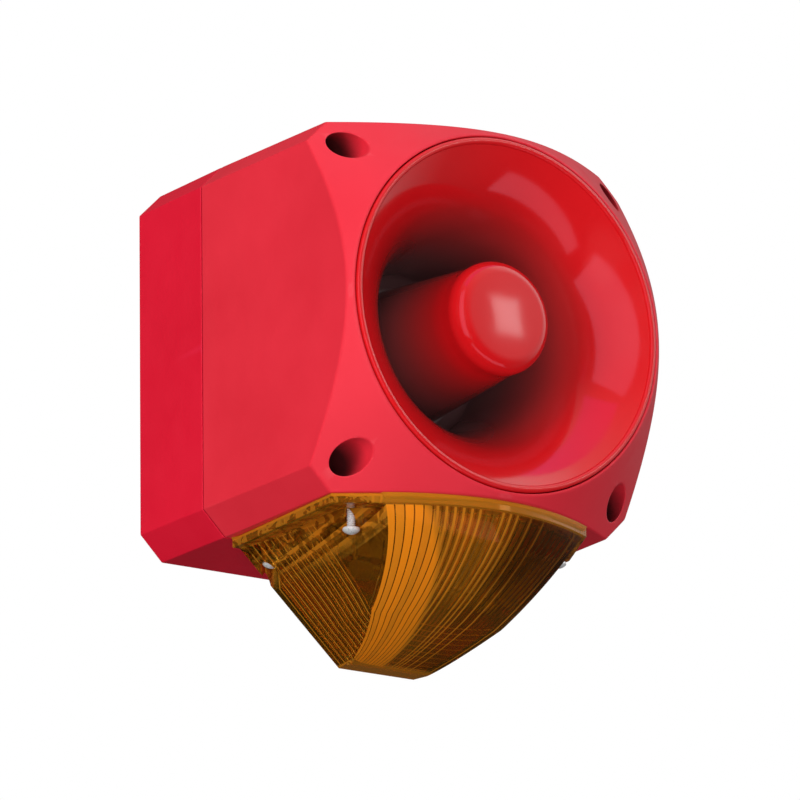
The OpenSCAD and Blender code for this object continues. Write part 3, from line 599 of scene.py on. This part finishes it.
def flange_outline(t):
    """The rim's outline on the housing's bottom face, moved inwards, as (x, depth) pairs."""
    back, rear_x, left_x = LENS_BACK + t, 54.6 - t, t - 56.4
    first, last, steps = 42.4 - t, left_x + 3, 40
    bow_top, bow_r = 188.6 - 1.15 * t, 64.9
    outline = [(rear_x, back), (54.9 - t, 84 - 0.4 * t)]
    bow = [first + (last - first) * i / steps for i in range(steps + 1)]
    outline += [(x, bow_top - math.hypot(x, bow_r)) for x in bow]
    return outline + [(left_x, 102.9 - 0.6 * t), (-rear_x, back)]


def flange_band(sections):
    """A band round the rim from (inset, height) pairs."""
    return hung(ring_solid([[(x, y, d) for x, d in flange_outline(t)] for t, y in sections], loop=True))


def lens():
    """The hollow lens with its screw pillars, its rim and the groove for its seal."""
    body = make("beacon_lens", lens_shape(0, 0))
    carve(body, lens_shape(LENS_T, 1.0, 1.0))
    outer = make("lens_outer", lens_shape(0, 0))
    pillar = hole(LENS_PILLAR_R, -LENS_H, 0, n=64)
    carve(outer, join(*[hung(turned_up(pillar, (x, 0, z))) for x, z in LENS_SCREWS]), "INTERSECT")
    carve(body, outer, "UNION")
    edge, wide = 0.25, 6.5
    rim = [(edge, 0), (0, -edge), (0, edge - RIM_H), (edge, -RIM_H), (wide, -RIM_H), (wide, 0)]
    carve(body, flange_band(rim), "UNION")
    under = -LENS_H - 1
    drill = lathe([(0, 1), (1.7, 1), (1.7, LENS_SEAT), (3.8, LENS_SEAT), (3.8, under), (0, under)], 64)
    carve(body, join(*[hung(turned_up(drill, (x, 0, z))) for x, z in LENS_SCREWS]))
    carve(body, flange_band([(0.9, 1), (0.9, -1.2), (2.6, -1.2), (2.6, 1)]))
    smooth(body, 28)
    fit(body, "front", "amber_lens", "lens")


# ---- Screws ----
def screw(at, out, r, head_r, head_h, length, pitch, sunk=False):
    """A cross-head screw with a real thread, and the recess to cut from its head.

    at is the middle of its seat and out points out of its head.
    """
    n = 36
    rings = [circle(0, head_h, 1)]
    if sunk:
        rings += [circle(head_r, 0, n), circle(r, -head_r + r, n)]
    else:
        dome, steps = 0.62 * head_h, 8
        ball = (head_r * head_r + dome * dome) / (2 * dome)
        for k in range(1, steps + 1):
            a = math.asin(head_r / ball) * k / steps
            rings.append(circle(ball * math.sin(a), head_h - ball * (1 - math.cos(a)), n))
        rings += [circle(head_r, head_h * 0.15, n), circle(head_r * 0.96, 0, n)]
    start = -(head_r - r) if sunk else 0
    rings.append(circle(r * 0.97, start - 0.1, n))
    # The thread: each ring is a cut through its crests and roots, which fade out at the tip
    deep, turns = pitch * 0.5, np.arange(n) / n
    steps = int((length + start - 0.6) / pitch * 6)
    for k in range(steps + 1):
        z = start - 0.5 - (length + start - 1.1) * k / steps
        crest = 1 - abs(2 * ((z / pitch - turns) % 1) - 1)
        end = min(1.0, (length + z) / pitch)
        rings.append(ring_at(2 * math.pi * turns, r - deep * (1 - crest * end), z))
    rings += [circle(r * 0.6, -length, n), circle(0, -length, 1)]
    # Cross recess, tapering inwards
    wide, narrow = head_r * 0.56, head_r * 0.15
    quarter = [(wide, narrow), (narrow, narrow), (narrow, wide)]
    cross = quarter + [(-x, y) for x, y in quarter[::-1]]
    cross += [(-x, -y) for x, y in cross]
    top = head_h + 0.5
    foot = -head_r * 0.25 if sunk else head_h * 0.2
    recess = ring_solid([[(x, y, top) for x, y in cross], [(x * 0.6, y * 0.8, foot) for x, y in cross]])
    turn = Vector((0, 0, 1)).rotation_difference(Vector(out)).to_matrix()
    return [([tuple(turn @ Vector(p) + Vector(at)) for p in part[0]], part[1])
            for part in (ring_solid(rings), recess)]


def screw_set(name, node, screws, body="front"):
    """A group of equal screws as one piece in place of a CAD node."""
    parts = [screw(*s) for s in screws]
    obj = make(name, join(*[p[0] for p in parts]))
    carve(obj, join(*[p[1] for p in parts]))
    smooth(obj, 35)
    fit(obj, body, "screw_steel", node)


def screws():
    """Every set of screws: seats, the way their heads point, sizes and the pitch of the thread."""
    out, back = (0, 0, 1), (0, 0, -1)
    slant = (0, -math.cos(DRAFT), -math.sin(DRAFT))
    lens_seats = hung(([(x, LENS_SEAT, z) for x, z in LENS_SCREWS], []))[0]
    screw_set("terminal_board_screws", "base_board_screws",
              [((x, y, 10.6), out, 1.5, 2.7, 1.8, 7, 0.7) for x, y in TERMINAL_BOARD_HOLES], "base")
    screw_set("horn_rim_screws", "bell_screws",
              [((x, y, CEILING), back, 1.5, 2.6, 1.8, 5.6, 0.7) for x, y in RIM_SCREWS])
    screw_set("driver_fixing_screws", "driver_screws",
              [((x, y, 54.6), back, 1.5, 2.6, 1.8, 7, 0.7) for x, y in thirds(DRIVER_SCREW_R, 30)])
    screw_set("bullet_fixing_screws", "bullet_screws",
              [((x, y, BACK_Z), back, 1.5, 2.95, 0, 9.4, 0.7, True) for x, y in thirds(POST_R, 90)])
    screw_set("main_board_fixing_screws", "main_board_screws",
              [((x, y, 44), back, 1.5, 2.7, 1.8, 9, 0.7) for x, y in MAIN_BOARD_HOLES])
    beacon_seats = [(s * BEACON_SCREW_X, -58.4, BEACON_SCREW_Z) for s in (-1, 1)]
    screw_set("beacon_board_screws", "beacon_screws",
              [(seat, (0, 1, 0), 1.0, 1.9, 1.3, 4, 0.5) for seat in beacon_seats])
    screw_set("lens_fixing_screws", "lens_screws",
              [(seat, slant, 1.5, 2.9, 2.2, 16, 0.8) for seat in lens_seats])
    for i, (x, y) in enumerate(COVER_SCREWS):
        node = "cover_screw_%d" % (i + 1)
        screw_set(node + "_detail", node, [((x, y, SEAT_Z), out, 2.5, 4.7, 3.4, 36, 0.9)], node)


def entry_plugs():
    """Slotted plugs with a gripping edge that close the two top cable entries."""
    head, n = 12.4, 96
    profile = [(0, -11), (8.2, -11), (9.9, -10.4), (9.9, 0), (head - 0.5, 0)]
    rings = [circle(r, z, n) for r, z in profile]
    grip = np.where(np.arange(n) // 2 % 4 == 0, 0.35, 0)
    for z, less in ((0.3, grip), (1.2, grip), (2.1, grip), (2.8, grip + 0.25), (3.15, 0.9)):
        rings.append(ring_at(2 * math.pi * np.arange(n) / n, head - less, z))
    rings += [circle(9, 3.2, n), circle(0, 3.2, 1)]
    places = [(s * ENTRY_X, HALF + 1, ENTRY_Z) for s in (-1, 1)]
    plugs = make("cable_entry_plugs", join(*[turned_up(ring_solid(rings), p) for p in places]))
    cuts = [turned_up(block((-7, 7), (-1, 1), (1.8, 4)), p) for p in places]
    cuts += [turned_up(hole(7.9, -12, -0.5, n=64), p) for p in places]
    carve(plugs, join(*cuts))
    smooth(plugs)
    fit(plugs, "base", "black_plastic", "entry_plugs")


# ---- Materials ----
def new_material(name):
    """A material, its node tree and its shader."""
    mat = bpy.data.materials.new(name)
    mat.use_nodes = True
    tree = mat.node_tree
    shader = tree.nodes["Principled BSDF"]
    return mat, tree, shader


def preset(node, **values):
    """Sets a node's properties, and its inputs given as in_NAME."""
    for key, value in values.items():
        if key.startswith("in_"):
            node.inputs[key[3:].replace("_", " ")].default_value = value
        else:
            setattr(node, key, value)
    return node


def add(tree, kind, **values):
    """A new shader node of a kind, with its properties and inputs set."""
    return preset(tree.nodes.new("ShaderNode" + kind), **values)


def link(source, out, target, into):
    """Joins an output of one node to an input of another."""
    source.id_data.links.new(source.outputs[out], target.inputs[into])


class Field:
    """A number that varies over a surface. Sums of fields make the shader's maths nodes."""

    def __init__(self, socket):
        self.socket = socket
        self.tree = socket.id_data

    def calc(self, operation, *others):
        """The result of a maths node on this field and others, which may be plain numbers."""
        node = add(self.tree, "Math", operation=operation)
        for socket, value in zip(node.inputs, (self, *others)):
            if isinstance(value, Field):
                self.tree.links.new(value.socket, socket)
            else:
                socket.default_value = value
        return Field(node.outputs["Value"])

    __add__ = partialmethod(calc, "ADD")
    __sub__ = partialmethod(calc, "SUBTRACT")
    __mul__ = partialmethod(calc, "MULTIPLY")
    __truediv__ = partialmethod(calc, "DIVIDE")
    __pow__ = partialmethod(calc, "POWER")
    __abs__ = partialmethod(calc, "ABSOLUTE")
    __gt__ = partialmethod(calc, "GREATER_THAN")
    __lt__ = partialmethod(calc, "LESS_THAN")
    highest = partialmethod(calc, "MAXIMUM")
    lowest = partialmethod(calc, "MINIMUM")

    def __rsub__(self, other):
        return self.calc("MULTIPLY_ADD", -1.0, other)

    def off_middle(self):
        """How far the fraction is from a half."""
        return abs(self.calc("FRACT") - 0.5)

    def step(self, low, high):
        """0 below low, 1 above high and smooth between them."""
        node = add(self.tree, "MapRange", interpolation_type="SMOOTHSTEP")
        preset(node, in_From_Min=low, in_From_Max=high)
        self.tree.links.new(self.socket, node.inputs["Value"])
        return Field(node.outputs["Result"])

    def random(self):
        """A tone between 0 and 1 for each whole number, the same each run."""
        node = add(self.tree, "TexWhiteNoise", noise_dimensions="1D")
        self.tree.links.new(self.calc("FLOOR").socket, node.inputs["W"])
        return Field(node.outputs["Value"])


def wall_place(tree, place):
    """The spot on a piece in wall coordinates, in millimetres, as three fields: x, height and depth."""
    split = add(tree, "SeparateXYZ")
    link(place, "Object", split, "Vector")
    axes = (("X", 1), ("Z", 1), ("Y", -1))
    return tuple(Field(split.outputs[axis]) * (sign / MM) for axis, sign in axes)


def blend_in(tree, shader, colour, amount, blend="MIX"):
    """Blends a colour into the base colour by a field's amount. The colour may be a socket."""
    mix = add(tree, "Mix", data_type="RGBA", blend_type=blend)
    if isinstance(colour, tuple):
        mix.inputs["B"].default_value = (*colour, 1)
    else:
        tree.links.new(colour, mix.inputs["B"])
    tree.links.new(amount.socket, mix.inputs["Factor"])
    tree.links.new(shader.inputs["Base Color"].links[0].from_socket, mix.inputs["A"])
    link(mix, "Result", shader, "Base Color")


def stops_ramp(tree, stops):
    """A colour ramp from (position, colour) pairs."""
    ramp = add(tree, "ValToRGB")
    ends = ramp.color_ramp.elements
    while len(ends) < len(stops):
        ends.new(1.0)
    for end, (position, colour) in zip(ends, stops):
        end.position = position
        end.color = colour
    return ramp


def mottled(tree, shader, low, high, scale):
    """Base colour that drifts between two colours with a soft noise."""
    place = add(tree, "TexCoord")
    noise = add(tree, "TexNoise", in_Scale=scale, in_Detail=3)
    ramp = stops_ramp(tree, ((0.3, (*low, 1)), (0.7, (*high, 1))))
    link(place, "Object", noise, "Vector")
    link(noise, "Fac", ramp, "Fac")
    link(ramp, "Color", shader, "Base Color")
    return place


def worn_and_highlit_edges(tree, shader, colour, strength):
    """Lightens the colour on convex edges: wear, and a painted highlight where the edges catch the light.
    """
    shape = add(tree, "NewGeometry")
    pick = add(tree, "MapRange", in_From_Min=0.52, in_From_Max=0.60, in_To_Max=strength)
    link(shape, "Pointiness", pick, "Value")
    blend_in(tree, shader, colour, Field(pick.outputs["Result"]))


def rough_range(tree, shader, place, low, high, scale):
    """Roughness that varies between two values with a noise."""
    noise = add(tree, "TexNoise", in_Scale=scale, in_Detail=4)
    spread = add(tree, "MapRange", in_From_Min=0.3, in_From_Max=0.7)
    preset(spread, in_To_Min=low, in_To_Max=high)
    link(place, "Object", noise, "Vector")
    link(noise, "Fac", spread, "Value")
    link(spread, "Result", shader, "Roughness")


def grained(tree, shader, place, scale, strength, distance):
    """Fine surface relief from a noise."""
    noise = add(tree, "TexNoise", in_Scale=scale)
    bump = add(tree, "Bump", in_Strength=strength, in_Distance=distance)
    link(place, "Object", noise, "Vector")
    link(noise, "Fac", bump, "Height")
    link(bump, "Normal", shader, "Normal")


def plastic(name, colour, rough, grain=1800, relief=0.12, vary=0.12, specular=0.5, coat=0.0):
    """A moulded piece, a little mottled, worn and grained, with a painted highlight on its edges."""
    mat, tree, shader = new_material(name)
    low = tuple(c * (1 - vary) for c in colour)
    high = tuple(min(1, c * (1 + vary) + 0.002) for c in colour)
    place = mottled(tree, shader, low, high, 35)
    worn_and_highlit_edges(tree, shader, tuple(min(1, c * 1.15 + 0.02) for c in colour), 0.5)
    rough_range(tree, shader, place, rough * 0.85, min(1, rough * 1.15), 120)
    grained(tree, shader, place, grain, relief, 0.0002)
    preset(shader, in_Specular_IOR_Level=specular, in_Coat_Weight=coat)
    return mat


def metal(name, colour, rough, scale=400, relief=0.08, metallic=1.0):
    """A metal piece, a little mottled, worn and grained, with a painted highlight on its edges."""
    mat, tree, shader = new_material(name)
    place = mottled(tree, shader, tuple(c * 0.8 for c in colour), colour, 300)
    worn_and_highlit_edges(tree, shader, tuple(min(1, c * 1.2) for c in colour), 0.6)
    rough_range(tree, shader, place, rough * 0.7, rough * 1.3, 500)
    grained(tree, shader, place, scale, relief, 0.0001)
    preset(shader, in_Metallic=metallic)
    return mat


def by_depth(tree, shader, place, stops, blend="MULTIPLY"):
    """Blends tints into the base colour by the depth from the wall. Their alpha is the amount."""
    tint = stops_ramp(tree, [(depth / RIM_D, (colour + (1,))[:4]) for depth, colour in stops])
    depth = wall_place(tree, place)[2]
    tree.links.new((depth / RIM_D).socket, tint.inputs["Fac"])
    blend_in(tree, shader, tint.outputs["Color"], Field(tint.outputs["Alpha"]), blend)


def painted_well_shade(tree, shader, place, colour):
    """Paints shade inside the four cover-screw wells, darker further down."""
    x, y, depth = wall_place(tree, place)
    dx, dy = abs(x) - SCREW_OFF, abs(y) - SCREW_OFF
    inside = 1 - ((dx * dx + dy * dy) ** 0.5).step(WELL_R + 0.1, WELL_R + 0.25)
    fade = 13
    deep = ((cone_z(SCREW_OFF * math.sqrt(2)) + 1 - depth) / fade).highest(0.0).lowest(1.0)
    blend_in(tree, shader, colour, inside * (depth > SEAT_Z - 1) * deep)


def red_housing(name):
    """Satin red, deeper on the back box, with painted shade in the gap behind the front and in the wells.
    """
    mat, tree, shader = new_material(name)
    place = mottled(tree, shader, (0.72, 0.019, 0.037), (0.79, 0.024, 0.045), 22)
    worn_and_highlit_edges(tree, shader, (0.80, 0.07, 0.09), 0.4)
    rough_range(tree, shader, place, 0.38, 0.50, 90)
    grained(tree, shader, place, 2600, 0.22, 0.00012)
    # The third tint is painted shade, near black, in the narrow gap between the back box and the front
    # housing
    deep, full, gap_shade = (0.97, 0.26, 0.70), (1, 1, 1), (0.06, 0.06, 0.08)
    by_depth(tree, shader, place, ((0, deep), (BOX_TOP, deep), (BOX_TOP + 0.08, gap_shade),
                                   (FRONT_BACK - 0.08, gap_shade), (FRONT_BACK, full), (RIM_D, full)))
    # Painted shade inside the cover-screw wells
    painted_well_shade(tree, shader, place, (0.10, 0.012, 0.014))
    preset(shader, in_Specular_IOR_Level=0.42)
    return mat


def red_gloss(name):
    """Polished red, with painted shade that darkens it towards the throat of the horn."""
    mat, tree, shader = new_material(name)
    place = mottled(tree, shader, (0.62, 0.007, 0.010), (0.69, 0.010, 0.014), 18)
    worn_and_highlit_edges(tree, shader, (0.80, 0.03, 0.04), 0.35)
    rough_range(tree, shader, place, 0.08, 0.12, 60)
    grained(tree, shader, place, 240, 0.03, 0.0002)
    # Painted shade: these tints darken the bell and bullet towards the throat
    shade = ((BACK_Z, (0.16, 0.080, 0.082)), (80, (0.18, 0.055, 0.056)), (95, (0.27, 0.030, 0.031)),
             (110, (0.47, 0.014, 0.016)), (119, (0.66, 0.008, 0.012, 0)))
    by_depth(tree, shader, place, shade, "MIX")
    preset(shader, in_Specular_IOR_Level=0.5)
    return mat


def amber_lens(name):
    """Clear amber, frosted beside its left ridge and on single crests, ribs, rim and foot, with painted
    shade along its flute grooves and on the upper right of its front.
    """
    mat, tree, shader = new_material(name)
    place = mottled(tree, shader, (0.58, 0.29, 0.025), (0.66, 0.34, 0.035), 40)
    rough_range(tree, shader, place, 0.03, 0.08, 150)
    grained(tree, shader, place, 500, 0.04, 0.0001)
    x, y, depth = wall_place(tree, place)
    # Shares of the way down the lens and across its front, and where a spot is among the flutes
    fall = ((y + HALF) * (-1 / LENS_H)).highest(0.0).lowest(1.0)
    side_x = SIDE_X + RIDGE_STEP - fall * SIDE_TAPER
    across = x / side_x.lowest(RIDGE_X - fall * RIDGE_TAPER)
    flute = across * (FLUTES / 2) + FLUTES / 2
    edge = flute.off_middle()
    line = edge.step(0.40, 0.48)
    tone = flute.random()
    # The front of the lens, ahead of its two ridges, and the bands along its top and bottom
    left = (1 - fall ** LENS_POW) ** (1 / LENS_POW)
    in_front = depth > left * RIDGE_DEEP + (FOOT_D - 0.6)
    front = (abs(across) < 1.02) * in_front
    tilt = math.tan(DRAFT)
    below = y - depth * tilt + (HALF + BOX_D * tilt)
    band = below.step(-RIM_H - 0.5, -RIM_H)
    rim = below.step(-1.3, -0.9)
    foot = fall.step(0.975, 0.99)
    # Frosting: flutes beside the left ridge, single crests, ribs, rim and foot
    beside = (fall * 0.5 - across).step(0.60, 0.75) * (tone * 0.20 + 0.80)
    crest = (tone > 0.45) * (1 - edge.step(0.10, 0.24)) * 0.6
    haze = (1 - across.step(-0.1, 0.4)) * 0.12 + 0.04
    frosted = beside.highest(crest).highest(haze) * front
    from_back = depth - (fall * BACK_LEAN + LENS_BACK)
    ribs = (from_back / RIB_PITCH).off_middle().step(0.36, 0.46) * (from_back < RIB_SPAN)
    ribs = ribs * (from_back > 1.5) * (1 - in_front)
    frosted = (frosted * (1 - line.highest(band))).highest(rim * 0.15 + band * 0.42)
    frosted = frosted.highest(ribs.highest(foot) * 0.5)
    # Streaks in the screw pillars behind the side panels, and a marbled pattern round them
    upper = 1 - fall.step(0.12, 0.42)
    pillar = (abs(abs(x) - LENS_SCREW_X) < LENS_PILLAR_R) * upper * (1 - in_front)
    frosted = frosted.highest((x / 0.8).random() * pillar * 0.7)
    swirl = add(tree, "TexNoise", in_Scale=170.0, in_Detail=2.0, in_Distortion=1.6)
    link(place, "Object", swirl, "Vector")
    marbled = Field(swirl.outputs["Fac"]).step(0.49, 0.55) * upper * 0.85
    marbled = marbled * (1 - in_front.highest(rim))
    # Painted shade over the upper right of the front
    painted_right_shade = across.step(0.0, 0.4) * (1 - fall.step(0.35, 0.75))
    front = front * (1 - band.highest(foot))
    blend_in(tree, shader, (0.95, 0.27, 0.010), frosted)
    # Painted shade along the grooves between the flutes
    blend_in(tree, shader, (0.25, 0.18, 0.10), line * front * 0.7, "MULTIPLY")
    # Darkens the painted shade on the front's upper right, and the marbled pattern round the pillars
    blend_in(tree, shader, (0.32, 0.29, 0.25), (painted_right_shade * front).highest(marbled), "MULTIPLY")
    tree.links.new((0.95 - frosted * 0.80).socket, shader.inputs["Transmission Weight"])
    preset(shader, in_IOR=1.49, in_Specular_Tint=(1.0, 0.42, 0.06, 1))
    return mat


def circuit_board(name):
    """Green board with copper tracks under the mask and a fine weave."""
    mat, tree, shader = new_material(name)
    place = add(tree, "TexCoord")
    tracks = add(tree, "TexBrick", in_Scale=260, in_Mortar_Size=0.05, offset=0.37)
    preset(tracks, in_Color1=(0.010, 0.085, 0.030, 1), in_Color2=(0.012, 0.105, 0.038, 1))
    preset(tracks, in_Mortar=(0.030, 0.20, 0.070, 1))
    turn = add(tree, "Mapping", in_Rotation=(math.radians(90), 0, 0))
    link(place, "Object", turn, "Vector")
    link(turn, "Vector", tracks, "Vector")
    link(tracks, "Color", shader, "Base Color")
    rough_range(tree, shader, place, 0.25, 0.45, 200)
    bump = add(tree, "Bump", in_Strength=0.4, in_Distance=0.0001)
    link(tracks, "Fac", bump, "Height")
    link(bump, "Normal", shader, "Normal")
    return mat


def wound(name, colour, pitch, shiny, metallic=0.0):
    """Turns of wire or tape: bands across the piece with relief."""
    mat, tree, shader = new_material(name)
    place = mottled(tree, shader, tuple(c * 0.7 for c in colour), colour, 120)
    bands = add(tree, "TexWave", in_Scale=1 / pitch, wave_profile="SIN", bands_direction="Y")
    bump = add(tree, "Bump", in_Strength=0.6, in_Distance=0.0002)
    link(place, "Object", bands, "Vector")
    link(bands, "Fac", bump, "Height")
    link(bump, "Normal", shader, "Normal")
    rough_range(tree, shader, place, shiny * 0.8, shiny * 1.2, 200)
    preset(shader, in_Metallic=metallic)
    return mat


def tube_glass(name):
    """Clear glass, faintly uneven."""
    mat, tree, shader = new_material(name)
    place = mottled(tree, shader, (0.90, 0.94, 0.95), (0.97, 0.98, 1.0), 60)
    rough_range(tree, shader, place, 0.02, 0.06, 120)
    preset(shader, in_Transmission_Weight=0.9, in_IOR=1.47)
    return mat


# The maker of each slot's material and its values
FINISHES = {
    "red_housing": (red_housing,),
    "red_gloss": (red_gloss,),
    "amber_lens": (amber_lens,),
    "seal_rubber": (plastic, (0.018, 0.018, 0.019), 0.7, 900, 0.25, 0.25, 0.3),
    "screw_steel": (metal, (0.94, 0.94, 0.94), 0.28, 400, 0.08, 0.35),
    "brass": (metal, (0.72, 0.50, 0.20), 0.30),
    "circuit_board": (circuit_board,),
    "terminal_green": (plastic, (0.03, 0.17, 0.08), 0.42),
    "black_plastic": (plastic, (0.020, 0.020, 0.022), 0.45, 1500, 0.2, 0.2, 0.4),
    "white_plastic": (plastic, (0.78, 0.77, 0.74), 0.30, 900, 0.06, 0.04),
    "cream_plastic": (plastic, (0.66, 0.60, 0.46), 0.45, 1200, 0.1, 0.05),
    "blue_plastic": (plastic, (0.02, 0.06, 0.30), 0.38),
    "plated_steel": (metal, (0.52, 0.52, 0.50), 0.38, 250, 0.12),
    "ferrite": (plastic, (0.045, 0.045, 0.050), 0.62, 700, 0.35, 0.25, 0.4),
    "film": (wound, (0.45, 0.32, 0.12), 0.004, 0.35),
    "copper": (wound, (0.62, 0.24, 0.09), 0.0022, 0.3, 0.9),
    "capacitor_sleeve": (plastic, (0.015, 0.022, 0.085), 0.22, 300, 0.05, 0.2, 0.5, 0.3),
    "core_grey": (plastic, (0.050, 0.050, 0.055), 0.55, 600, 0.3, 0.2, 0.4),
    "winding_tape": (wound, (0.58, 0.38, 0.05), 0.006, 0.4),
    "chip_black": (plastic, (0.022, 0.022, 0.024), 0.5, 1400, 0.2, 0.2, 0.4),
    "tube_glass": (tube_glass,),
    "ribbon_grey": (wound, (0.30, 0.31, 0.33), 0.0025, 0.5),
}
made_materials = {}


def material(slot):
    """The material of a slot, made once."""
    if slot not in made_materials:
        maker, *values = FINISHES[slot]
        made_materials[slot] = maker(slot, *values)
    return made_materials[slot]


def dress_nodes():
    """Gives every CAD node that stays in view its slot's material."""
    for part in frame["record"]["subparts"]:
        mesh = frame["nodes"][part["node"]].data
        mesh.materials.clear()
        mesh.materials.append(material(part["material_slot"]))


# ---- Stage ----
FLOOR_Z_M = -0.95
AIM = Vector((0, -0.08, 0))
CAMERA_AT = (-1.42715, -2.11938, -0.73759)
CAMERA_RIGHT = (0.82365, -0.56695, -0.01292)
CAMERA_UP = (-0.14717, -0.23570, 0.96062)
CAMERA_LENS = 342.0


def camera():
    """The photo's viewpoint: a long lens from the front left and below."""
    data = bpy.data.cameras.new("camera")
    data.lens = CAMERA_LENS
    data.sensor_width = 36
    data.clip_end = 50
    view = new_object("camera", data)
    right, up = Vector(CAMERA_RIGHT).normalized(), Vector(CAMERA_UP).normalized()
    turn = Matrix((right, up, right.cross(up))).transposed()
    view.matrix_world = Matrix.Translation(CAMERA_AT) @ turn.to_4x4()
    bpy.context.scene.camera = view


def pane(name, corners):
    """A single four-sided face."""
    mesh = bpy.data.meshes.new(name)
    mesh.from_pydata(corners, [], [(0, 1, 2, 3)])
    return new_object(name, mesh)


def hide_from(obj, *rays):
    """Makes obj invisible to some kinds of ray."""
    for ray in rays:
        setattr(obj, "visible_" + ray, False)


def floor():
    """A plain pale floor, gently uneven in tone. It takes no part in the horn's own light."""
    wide = 12
    obj = pane("floor", [(wide * x, wide * y, FLOOR_Z_M) for x, y in CORNERS])
    mat, tree, shader = new_material("pale_floor")
    mottled(tree, shader, (0.78, 0.78, 0.77), (0.82, 0.82, 0.81), 1.5)
    preset(shader, in_Roughness=0.7, in_Emission_Strength=0.45)
    tree.links.new(shader.inputs["Base Color"].links[0].from_socket, shader.inputs["Emission Color"])
    obj.data.materials.append(mat)
    hide_from(obj, "diffuse", "glossy", "transmission", "shadow")


def softbox(name, at, width, height, power, glossy=False):
    """A soft rectangular light that faces AIM. Polished pieces mirror it only if glossy is set."""
    data = bpy.data.lights.new(name, "AREA")
    data.shape = "RECTANGLE"
    data.size, data.size_y = width, height
    data.energy = power
    light = new_object(name, data)
    light.location = at
    light.rotation_mode = "QUATERNION"
    light.rotation_quaternion = (AIM - Vector(at)).to_track_quat("-Z", "Y")
    light.visible_glossy = glossy


def window(name, corners, strength, colour):
    """A bright pane, placed from AIM, that shows in the glossy pieces only."""
    obj = pane(name, [AIM + Vector(p) for p in corners])
    mat, tree, shader = new_material(name)
    tree.nodes.remove(shader)
    glow = add(tree, "Emission", in_Strength=strength, in_Color=(*colour, 1))
    link(glow, "Emission", tree.nodes["Material Output"], "Surface")
    obj.data.materials.append(mat)
    hide_from(obj, "camera", "diffuse", "shadow", "transmission")


def sky():
    """Surroundings: white to look at, soft in the mirror, and dim as a light."""
    world = bpy.data.worlds.new("surroundings")
    world.use_nodes = True
    tree = world.node_tree
    back = tree.nodes["Background"]
    place = add(tree, "TexCoord")
    path = add(tree, "LightPath")

    def gradient(axis, stops):
        along = add(tree, "VectorMath", operation="DOT_PRODUCT")
        along.inputs[1].default_value = Vector(axis).normalized()
        tree.links.new(place.outputs["Generated"], along.inputs[0])
        scale = add(tree, "MapRange", in_From_Min=-1.0, in_From_Max=1.0)
        link(along, "Value", scale, "Value")
        ramp = stops_ramp(tree, [(share, (value, value, value, 1)) for share, value in stops])
        link(scale, "Result", ramp, "Fac")
        return ramp.outputs["Color"]

    def times(first, second):
        mix = add(tree, "Mix", data_type="RGBA", blend_type="MULTIPLY", in_Factor=1.0)
        tree.links.new(first, mix.inputs["A"])
        tree.links.new(second, mix.inputs["B"])
        return mix.outputs["Result"]

    tones = ((0.22, 0.02), (0.42, 0.10), (0.60, 0.45), (0.85, 0.9), (0.97, 2.2))
    mirrored = gradient((0.75, 0.1, 0.65), tones)
    mirrored = times(mirrored, gradient((0, -1, 0), ((0.18, 0.08), (0.36, 0.25), (0.50, 0.5), (0.65, 1))))
    mirrored = times(mirrored, gradient((0, 0, 1), ((0.30, 0.25), (0.48, 1))))
    colour = gradient((-0.3, -0.5, 0.8), ((0.0, 0.16), (0.35, 0.20), (0.65, 0.30), (1.0, 0.42)))
    inside = gradient((-0.6, -0.5, 0.4), ((0.3, 0.05), (0.55, 0.3), (0.7, 1.6), (0.9, 2.4)))
    for ray, value in (("Glossy", mirrored), ("Transmission", inside), ("Camera", None)):
        mix = add(tree, "Mix", data_type="RGBA", in_B=(1, 1, 1, 1))
        tree.links.new(path.outputs["Is %s Ray" % ray], mix.inputs["Factor"])
        tree.links.new(colour, mix.inputs["A"])
        if value is not None:
            tree.links.new(value, mix.inputs["B"])
        colour = mix.outputs["Result"]
    tree.links.new(colour, back.inputs["Color"])
    bpy.context.scene.world = world
    bpy.context.scene.view_settings.view_transform = "Standard"


def lights():
    """Softboxes round the horn, and the panes that its polished bell mirrors."""
    softbox("key", (-1.5, -2.6, 0.5), 1.6, 1.6, 26)
    softbox("left_fill", (-2.8, -0.4, 0.2), 1.4, 1.8, 37)
    softbox("low_fill", (-1.4, -2.4, -1.1), 1.4, 1.0, 24)
    softbox("under_fill", (-0.9, -1.5, -2.3), 1.2, 1.2, 9)
    softbox("top", (-0.4, -0.6, 2.4), 1.4, 1.4, 14)
    softbox("cap_glow", AIM + 2.4 * Vector((0.5477, -0.7893, 0.2776)), 0.30, 0.30, 1.1, glossy=True)
    softbox("screw_glint", AIM - Vector((0, 0, 2)), 0.25, 0.25, 0.6, glossy=True)
    # A tall pane beside the camera, one below and a wedge overhead
    far, low, high = 3.0, -1.53, 2.7
    left, right = math.radians(-148), math.radians(-119)
    tall = [(far * math.sin(a), far * math.cos(a), z) for a, z in
            ((left, low), (right, low), (right, high), (left, high))]
    window("tall_pane", tall, 1.5, (1, 0.55, 0.78))
    below = ((0.74, -0.37, -1), (0.66, -0.80, -1), (-0.74, -1.12, -1), (-0.80, -0.80, -1))
    window("low_pane", below, 1.2, (1, 0.6, 0.8))
    above = ((0.68, -0.02, 1), (0.68, -0.06, 1), (-0.48, -0.84, 1), (-0.64, -0.36, 1))
    window("top_pane", above, 1.5, (1, 0.25, 0.62))


dress_nodes()
camera()
floor()
sky()
lights()
back_box()
front_housing()
horn_bell()
horn_bullet()
lens()
screws()
entry_plugs()
